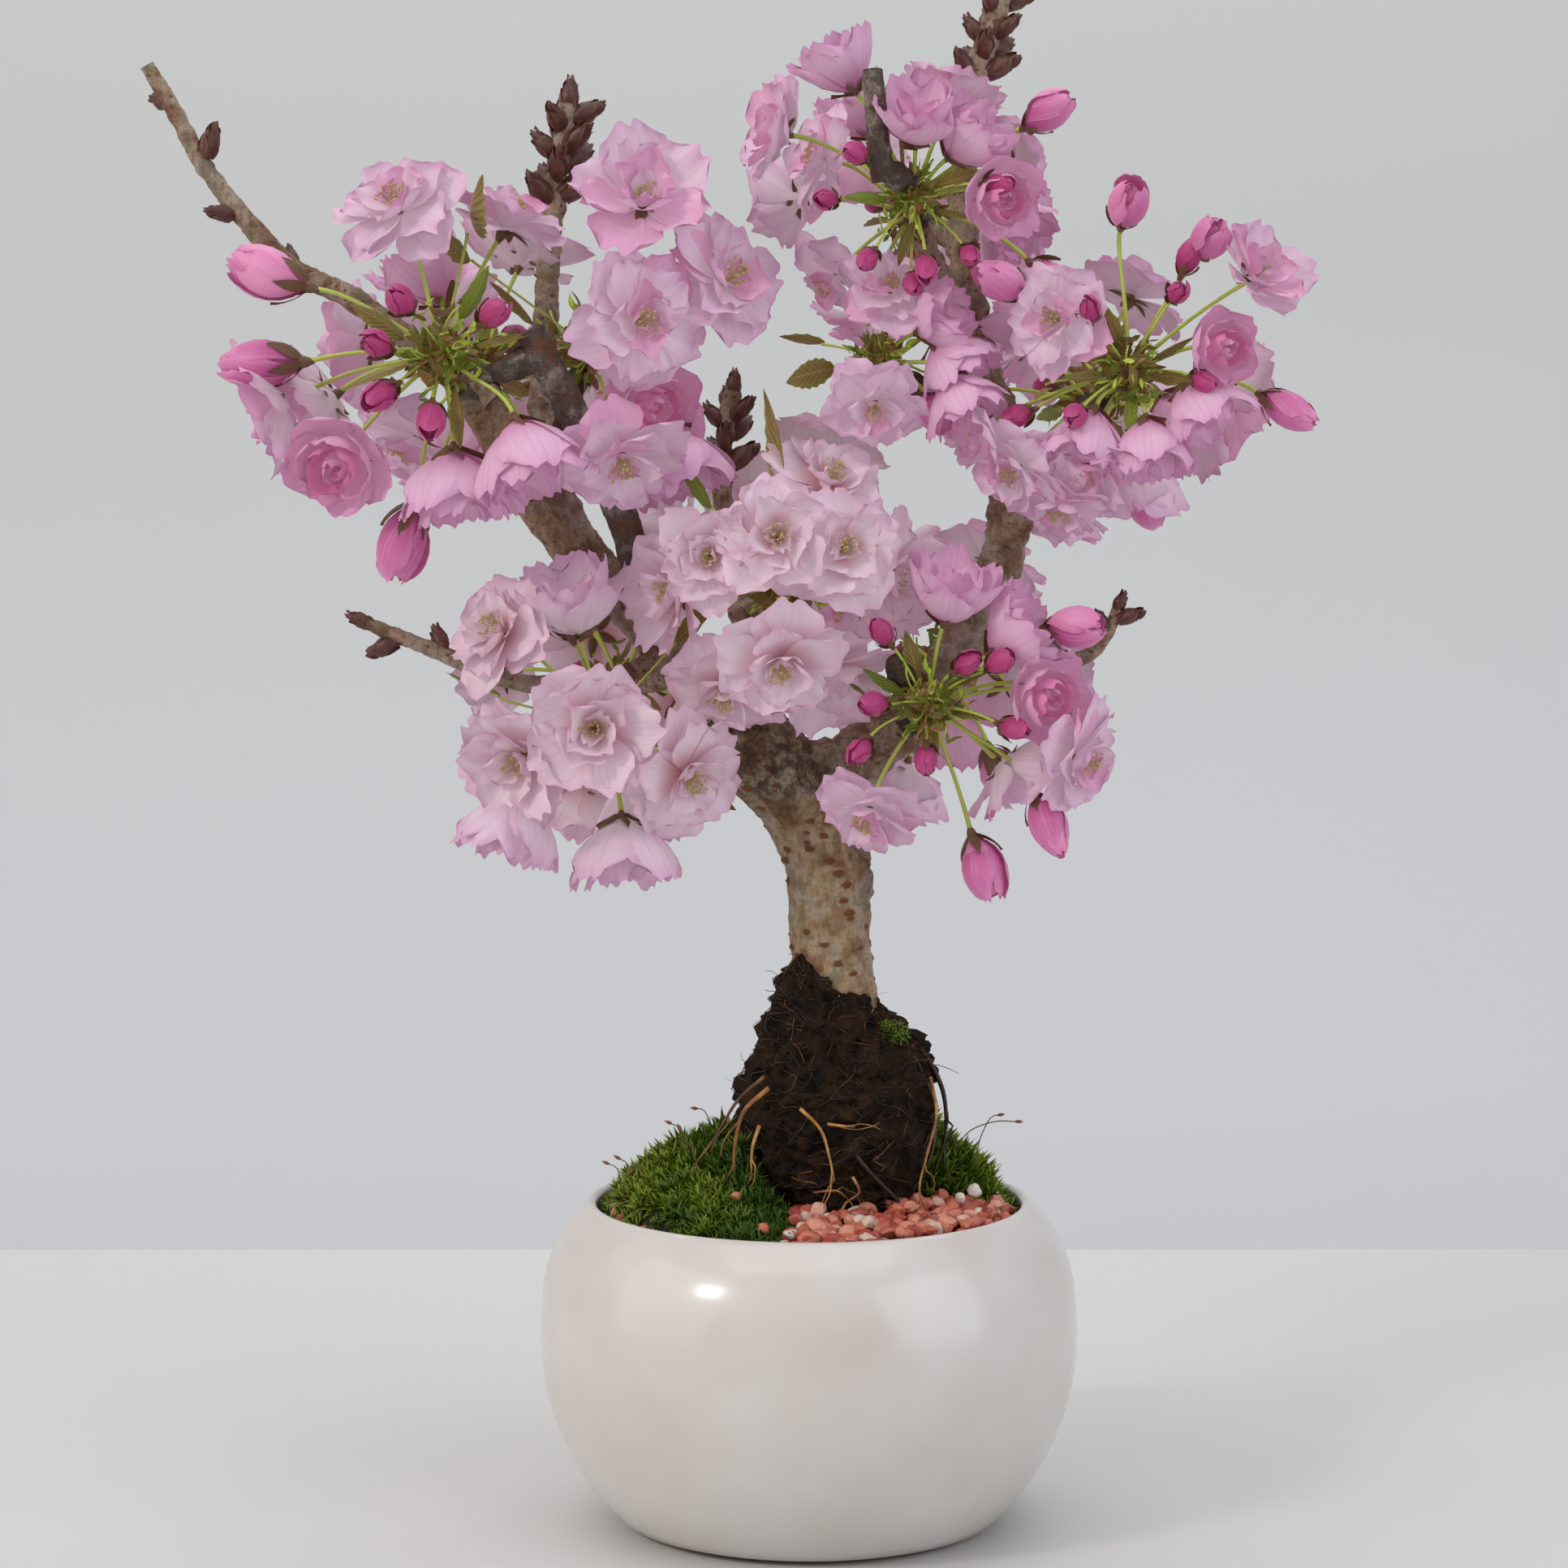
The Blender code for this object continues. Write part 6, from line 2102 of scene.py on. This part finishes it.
ROSETTE_WHORLS = (
    (Whorl(5, 1.46, 1.42, 3.0, 74.0, -0.46, hug=0.6, cup=0.06, ruffle=0.03, teeth=0.008), Tint.ROSY),
    (Whorl(5, 1.30, 1.30, 16.0, 84.0, -0.42, hug=0.8, cup=0.06, ruffle=0.03, twist=0.2, teeth=0.008), Tint.ROSY),
    (Whorl(4, 1.16, 1.16, 30.0, 86.0, -0.38, hug=0.9, cup=0.04, ruffle=0.03, twist=0.4, teeth=0.008), Tint.PINK),
    (Whorl(3, 1.00, 0.92, 44.0, 80.0, -0.34, hug=0.95, cup=0.0, ruffle=0.03, twist=0.6, teeth=0.008), Tint.ROSY),
    (Whorl(2, 0.86, 0.66, 60.0, 60.0, -0.30, hug=0.95, cup=0.0, ruffle=0.03, twist=0.8), Tint.PINK),
)
BUD_WHORLS = (
    (Whorl(3, 3.15, 1.9, 38.0, 98.0, -1.15, hug=1.0, cup=0.0, ruffle=0.05, notch=0.05, twist=0.5, foot_r=0.15,
           teeth=0.010), Tint.BUD),
    (Whorl(3, 3.10, 1.7, 40.0, 98.0, -1.12, hug=1.0, cup=0.0, ruffle=0.05, notch=0.05, twist=0.8, foot_r=0.11,
           teeth=0.010), Tint.BUD),
    (Whorl(2, 3.05, 1.4, 44.0, 92.0, -1.05, hug=1.0, cup=0.0, ruffle=0.05, twist=1.1, foot_r=0.06), Tint.PINK),
)
SMALL_BUD_WHORLS = (
    (Whorl(3, 2.75, 2.0, 36.0, 108.0, -0.92, hug=1.0, cup=0.0, ruffle=0.02, notch=0.0, twist=0.6, foot_r=0.15,
           teeth=0.003), Tint.DEEP),
    (Whorl(3, 2.70, 1.7, 38.0, 108.0, -0.88, hug=1.0, cup=0.0, ruffle=0.02, notch=0.0, twist=1.0, foot_r=0.08,
           teeth=0.003), Tint.DEEP),
)
SEPALS = {
    Kind.OPEN: Whorl(5, 0.36, 0.15, 2.0, -20.0, -0.16, cup=0.2, ruffle=0.0, pointed=True),
    Kind.CUP: Whorl(5, 0.50, 0.22, 22.0, 20.0, -0.88, hug=0.6, cup=0.1, ruffle=0.02, pointed=True, foot_r=0.10),
    Kind.ROSETTE: Whorl(5, 0.56, 0.24, 0.0, 50.0, -0.54, hug=0.6, cup=0.1, ruffle=0.02, pointed=True, foot_r=0.08),
    Kind.BUD: Whorl(5, 1.30, 0.46, 34.0, 52.0, -1.26, hug=1.0, cup=0.0, ruffle=0.02, pointed=True, foot_r=0.21),
    Kind.SMALL_BUD: Whorl(5, 1.25, 0.52, 32.0, 60.0, -1.02, hug=1.0, cup=0.0, ruffle=0.02, pointed=True, foot_r=0.25),
}
WHORLS = {Kind.OPEN: OPEN_WHORLS, Kind.CUP: CUP_WHORLS, Kind.ROSETTE: ROSETTE_WHORLS, Kind.BUD: BUD_WHORLS,
          Kind.SMALL_BUD: SMALL_BUD_WHORLS}


@dataclass(frozen=True)
class TuftPart:
    """One sort of what a hub carries: the least and the most of its distance, length and half width."""

    away: tuple[float, float]
    length: tuple[float, float]
    half: tuple[float, float]
    greens: tuple[Green, ...]


SCALES = TuftPart((0.3, 4.4), (1.4, 3.0), (0.9, 1.8), (Green.SCALE,))
LEAFLETS = TuftPart((1.5, 7.0), (1.8, 4.2), (0.9, 1.8),
                    (Green.BRONZE, Green.BRONZE, Green.SCALE, Green.LEAF, Green.SEPAL))
BRACTS = TuftPart((4.5, 11.0), (1.2, 2.6), (0.5, 1.1), (Green.BRACT, Green.LEAF, Green.BRONZE))
THREADS = TuftPart((4.0, 12.5), (0.9, 1.9), (0.3, 0.7), BRACTS.greens)
TUFT_PARTS = (SCALES, THREADS, LEAFLETS, THREADS, SCALES, BRACTS, LEAFLETS, SCALES, LEAFLETS, SCALES)


class Florist:
    """Keeps a few different flowers of each kind, and sets them on their hubs."""

    variants: int = 6
    tuft_variants: int = 3
    stamens: int = 22
    tuft_bits: int = 170
    stalk_parts: int = 9
    rosy_share: float = 0.2
    pink_share: float = 0.3
    white_rosette: float = 1.18

    def __init__(self) -> None:
        """Makes the flowers that every mass picks from."""
        numbers = range(self.variants)
        self.blooms = {(kind, white): [self.bloom(kind, number, white) for number in numbers]
                       for kind in WHORLS for white in (False, True)}
        self.calyxes = {kind: self.calyx(kind) for kind in WHORLS}
        self.leaves = {kind: [self.foliage(kind, number) for number in numbers]
                       for kind in (Kind.LEAF, Kind.SMALL_LEAF)}
        self.tufts = [self.tuft(number) for number in range(self.tuft_variants)]

    def shade(self, kind: Kind, tint: Tint, white: bool, dice: random.Random) -> Tint:
        """Picks a petal's tint.

        Args:
            kind: Its flower's kind.
            tint: Its whorl's tint.
            white: Whether the flower is a paler one.
            dice: Makes a few petals rosier than their whorl.

        Returns:
            The tint.
        """
        if tint is Tint.PALE and dice.random() < self.rosy_share:
            tint = Tint.ROSY
        elif kind is Kind.BUD and dice.random() < self.pink_share:
            tint = Tint.PINK
        if not white or kind in (Kind.BUD, Kind.SMALL_BUD):
            return tint
        return Tint.PALE if tint is Tint.BELL else Tint.WHITE

    def bloom(self, kind: Kind, number: int, white: bool) -> bpy.types.Mesh:
        """Makes the petals and stamens of one flower.

        Args:
            kind: The flower's kind.
            number: Which of the kind's flowers it is.
            white: Whether it is a paler one.

        Returns:
            The flower, which faces +Z.
        """
        dice = random.Random(100 * kind.foot + number)
        piece = Piece("bloom")
        small = kind is Kind.SMALL_BUD
        reach = self.white_rosette if kind is Kind.ROSETTE and white else 1.0
        trumpet = kind is Kind.OPEN and number % 2 == 1 or kind is Kind.ROSETTE and white
        for whorl, tint in TRUMPET_WHORLS if trumpet else WHORLS[kind]:
            start = dice.uniform(0.0, math.tau)
            for k in range(whorl.count):
                turn = start + math.tau * k / whorl.count + dice.uniform(-0.10, 0.10)
                petal(piece.bm, whorl, kind.radius * reach, turn, dice, self.shade(kind, tint, white, dice),
                      7 if small else 11, 5 if small or whorl.hug < 1.0 else 7)
        if kind in (Kind.OPEN, Kind.CUP) or trumpet:
            depth = -0.6 if kind is Kind.CUP else -0.18 if trumpet else -0.03
            self.add_stamens(piece.bm, kind.radius, depth, dice)
        return piece.mesh()

    def add_stamens(self, bm: BMesh, radius: float, depth: float, dice: random.Random) -> None:
        """Adds a flower's stamens.

        Args:
            bm: The flower.
            radius: Its radius.
            depth: Where they stand on its axis, as a share of the radius.
            dice: Gives each its lean and length.
        """
        for k in range(self.stamens):
            lean = dice.uniform(0.05, 0.60)
            angle = GOLDEN_TURN * k
            out = Vector((math.cos(angle) * lean, math.sin(angle) * lean, 1.0)).normalized()
            foot = heading(angle) * 0.5 + UP * radius * depth
            length = radius * dice.uniform(0.24, 0.40)
            route = [foot + out * length * t for t in (0.0, 0.35, 0.80, 0.88, 0.96, 1.0)]
            tube(bm, route, (0.16, 0.10, 0.10, 0.34, 0.34, 0.10), 4, Tint.STAMEN)

    @staticmethod
    def calyx(kind: Kind) -> bpy.types.Mesh:
        """Makes a flower's calyx tube and sepals.

        Args:
            kind: The flower's kind.

        Returns:
            The calyx, which faces +Z.
        """
        dice = random.Random(17)
        piece = Piece("calyx")
        sepal = SEPALS[kind]
        for k in range(sepal.count):
            petal(piece.bm, sepal, kind.radius, math.tau * k / sepal.count, dice, Green.SEPAL, 4, 5)
        base = -kind.foot
        top = sepal.foot * kind.radius
        wide = 1.5 if kind is not Kind.SMALL_BUD else 1.1
        heights = (base - 0.8, base, base + 0.4 * (top - base), top, top + 0.9)
        tube(piece.bm, [Vector((0.0, 0.0, z)) for z in heights], (0.5, 0.8, wide * 0.8, wide, wide * 0.9), 8,
             Green.SEPAL)
        return piece.mesh()

    @staticmethod
    def foliage(kind: Kind, number: int) -> bpy.types.Mesh:
        """Makes one leaf.

        Args:
            kind: The large or the small leaf.
            number: Which of the kind's leaves it is.

        Returns:
            The leaf, which points along +Z.
        """
        dice = random.Random(500 + number)
        piece = Piece("leaf")
        leaf(piece.bm, kind.foot, kind.radius * dice.uniform(0.75, 1.0),
             Green.LEAF if number % 4 == 3 else Green.BRONZE, dice, 14 if kind is Kind.LEAF else 8)
        return piece.mesh()

    def tuft(self, number: int) -> bpy.types.Mesh:
        """Makes a hub's tuft: bud scales, leaflets, bracts and stalks.

        Args:
            number: Which of the tufts it is.

        Returns:
            The tuft, about the origin and facing +Z.
        """
        dice = random.Random(900 + number)
        piece = Piece("tuft")
        for k in range(self.tuft_bits):
            angle = GOLDEN_TURN * k + dice.uniform(-0.3, 0.3)
            rise = math.radians(dice.uniform(-20.0, 82.0))
            out = Vector((math.cos(angle) * math.cos(rise), math.sin(angle) * math.cos(rise), math.sin(rise)))
            sway = scatter(dice, (-1.3, 1.3), (-1.3, 1.3), (-0.6, 1.0))
            part = TUFT_PARTS[k % len(TUFT_PARTS)]
            away = dice.uniform(*part.away)
            if part is THREADS:
                end = (out + sway * 0.45).normalized() * away
                route = bezier(out * 0.5, out * away * 0.45, end - sway * away * 0.2, end, 5)
                tube(piece.bm, route, (0.42, 0.30, 0.26, 0.24, 0.24, 0.30), 4, Green.STALK)
                out = end.normalized()
            length, half = dice.uniform(*part.length), dice.uniform(*part.half)
            green = dice.choice(part.greens) if len(part.greens) > 1 else part.greens[0]
            bit = Piece("tuft_bit")
            leaf(bit.bm, length, half, green, dice, 6, 2.2)
            template = bit.mesh()
            piece.add(template, aimed(out * (away + length * 0.8), (out + sway).normalized(), any_turn(dice)))
            bpy.data.meshes.remove(template)
        return piece.mesh()

    def add_stalk(self, bm: BMesh, kind: Kind, first: Vector, out: Vector, foot: Vector, aim: Vector,
                  span: float) -> None:
        """Adds the curved stalk of a flower or leaf.

        Args:
            bm: The mass's greens.
            kind: What it carries.
            first: Where it leaves the hub.
            out: The way that it leaves.
            foot: The foot of what it carries.
            aim: The way that this faces.
            span: How far the foot is from the hub.
        """
        steps = self.stalk_parts
        bow = UP * span * 0.06 if kind in WHORLS else ORIGIN
        route = bezier(first, first + out * span * 0.40 + bow, foot - aim * span * 0.25 + bow, foot + aim * 0.6, steps)
        radii = [kind.stalk * (1.0 - 0.25 * math.sin(math.pi * i / steps)) for i in range(steps + 1)]
        tube(bm, route, radii, 6, Green.STALK)

    def build(self, mass: Mass, petals: bpy.types.Material, greens: bpy.types.Material) -> None:
        """Makes one mass.

        Args:
            mass: The mass.
            petals: The petals' material.
            greens: The material of leaves, stalks and scales.
        """
        short = mass.name.removeprefix("blossom_")
        flowers = Piece("petals_" + short)
        green = Piece("greens_" + short)
        hub = Vector(mass.hub)
        white = short in WHITE_MASSES
        count = 0
        for number, (kind, centre, aim, spin, out) in enumerate(mass.kept()):
            aim = kind.drape(aim, out, number, short in TURNED_MASSES)
            matrix = aimed(centre, aim, spin, mass.size)
            if kind in WHORLS:
                flowers.add(self.blooms[kind, white][(number + mass.seed) % self.variants], matrix)
                green.add(self.calyxes[kind], matrix)
                count += 1
            else:
                green.add(self.leaves[kind][number % self.variants], matrix)
            foot = centre - aim * kind.foot * mass.size
            self.add_stalk(green.bm, kind, hub + out * HUB_R * 0.4, out, foot, aim, (foot - hub).length)
        green.add(self.tufts[mass.seed % self.tuft_variants],
                  aimed(hub, heading(math.radians(mass.front)), 0.1 * mass.seed, mass.size))
        flowers.done(petals, [mass.name])
        green.done(greens, [mass.name])
        LOG.info("%s: %d flowers and buds", mass.name, count)


# ---------------------------------------------------------------- studio

@dataclass(frozen=True)
class Lamp:
    """One soft lamp: its place and target in metres, its size, power and colour."""

    name: str
    place: Point
    target: Point
    size: tuple[float, float]
    power: float
    colour: Colour

    def build(self) -> None:
        """Adds the lamp."""
        light = bpy.data.lights.new(self.name, 'AREA')
        light.shape = 'RECTANGLE'
        light.size, light.size_y = self.size
        light.energy = self.power
        light.color = self.colour
        made = show(self.name, light)
        made.location = self.place
        made.rotation_euler = (Vector(self.target) - Vector(self.place)).to_track_quat('-Z', 'Y').to_euler()


@dataclass(frozen=True)
class Studio:
    """The pale table, the backdrop, the lamps and the camera, in metres."""

    table_front: float = -1.5
    table_back: float = 0.312
    table_half: float = 1.6
    table_depth: float = 0.06
    table_edge: float = 0.02
    wall_y: float = 1.6
    wall_half: float = 3.0
    table_top: Paper = Paper("table_top", (0.640, 0.635, 0.630), (0.660, 0.655, 0.650), -100.0, 100.0, 0.55)
    # painted light: the backdrop is lighter near the table and darker above it
    wall_paper: Paper = Paper("wall_paper", (0.808, 0.822, 0.842), (0.640, 0.648, 0.642), -169.0, 355.0)
    lamps: tuple[Lamp, ...] = (
        Lamp("left_lamp", (-1.45, -1.25, 1.35), (0.0, 0.0, 0.15), (0.34, 0.30), 10.0, (1.0, 0.93, 0.84)),
        Lamp("left_bank", (-2.1, -0.9, 1.0), (0.0, 0.0, 0.15), (2.2, 2.2), 14.5, (1.0, 0.92, 0.84)),
        Lamp("right_window", (2.1, -1.4, 1.0), (0.0, 0.0, 0.12), (2.2, 2.2), 20.0, (0.93, 0.96, 1.0)),
        Lamp("top_bank", (0.0, -0.3, 2.2), (0.0, 0.1, 0.0), (2.2, 1.8), 15.0, (1.0, 1.0, 1.0)),
        Lamp("wall_wash", (0.0, 0.9, 2.1), (0.0, 1.6, 0.3), (2.4, 0.4), 12.0, (0.98, 0.98, 1.0)))
    room_colour: tuple[float, ...] = (0.90, 0.92, 0.96, 1.0)
    room_light: float = 0.44
    eye: Point = (-0.0056, -0.938, 0.2568)
    eye_down: float = 5.48
    sensor: float = 36.0
    focus: float = 5200.0 / 1932.0

    def surfaces(self) -> None:
        """Makes the table and the backdrop."""
        bm = bmesh.new()
        bmesh.ops.create_cube(bm, size=1.0)
        length = self.table_back - self.table_front
        for vert in bm.verts:
            vert.co = Vector((vert.co.x * 2.0 * self.table_half, self.table_front + (vert.co.y + 0.5) * length,
                              (vert.co.z - 0.5) * self.table_depth))
        edges = [edge for edge in bm.edges if all(vert.co.y > 0.0 and vert.co.z > -0.01 for vert in edge.verts)]
        bmesh.ops.bevel(bm, geom=edges, offset=self.table_edge, offset_type='OFFSET', segments=8, profile=0.5,
                        affect='EDGES', material=-1)
        self.put("table", bm, self.table_top)
        bm = bmesh.new()
        bmesh.ops.create_grid(bm, x_segments=1, y_segments=1, size=self.wall_half)
        bmesh.ops.rotate(bm, cent=ORIGIN, matrix=Matrix.Rotation(math.radians(90.0), 3, 'X'), verts=bm.verts)
        bmesh.ops.translate(bm, vec=(0.0, self.wall_y, 0.0), verts=bm.verts)
        self.put("backdrop", bm, self.wall_paper)

    @staticmethod
    def put(name: str, bm: BMesh, finish: Paper) -> None:
        """Ends one surface of the studio.

        Args:
            name: Its name.
            bm: Its mesh.
            finish: Its finish.
        """
        mesh = bpy.data.meshes.new(name)
        bm.to_mesh(mesh)
        bm.free()
        mesh.materials.append(finish.make())
        mesh.shade_smooth()
        mesh.set_sharp_from_angle(angle=math.radians(40.0))
        show(name, mesh)

    def lights(self) -> None:
        """Adds the lamps and the even light of the room."""
        for lamp in self.lamps:
            lamp.build()
        world = bpy.data.worlds.new("room")
        world.use_nodes = True
        sky = world.node_tree.nodes["Background"]
        sky.inputs["Color"].default_value = self.room_colour
        sky.inputs["Strength"].default_value = self.room_light
        bpy.context.scene.world = world

    def camera(self) -> None:
        """Sets the camera."""
        eye = bpy.data.cameras.new("eye")
        eye.sensor_width = self.sensor
        eye.lens = self.sensor * self.focus
        eye.clip_end = 20.0
        made = show("eye", eye)
        made.location = self.eye
        made.rotation_euler = (math.radians(90.0 - self.eye_down), 0.0, 0.0)
        bpy.context.scene.camera = made


def main() -> None:
    """Builds the tree piece by piece."""
    logging.basicConfig(level=logging.INFO, format="%(name)s %(message)s")
    studio = Studio()
    studio.camera()
    studio.surfaces()
    studio.lights()
    bpy.context.scene.view_settings.view_transform = 'Standard'
    Pot().build(Glaze().make())
    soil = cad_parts["soil"]
    soil.data.materials.clear()
    soil.data.materials.append(SOIL.make())
    roots = ROOTS.make()
    RootBall().build(EARTH.make(), roots)
    turf = TURF.make()
    blades = Blades().make()
    for moss in MOSSES:
        moss.build(turf, blades)
    Setae().build(roots)
    Gravel().build(GRAVEL_BED.make(), STONES.make())
    timber = Timber()
    timber.build(Bark().make())
    greens = Greens().make()
    timber.build_buds(greens)
    petals = Petals().make()
    florist = Florist()
    for mass in MASSES:
        florist.build(mass, petals, greens)


if __name__ == "__main__":
    main()
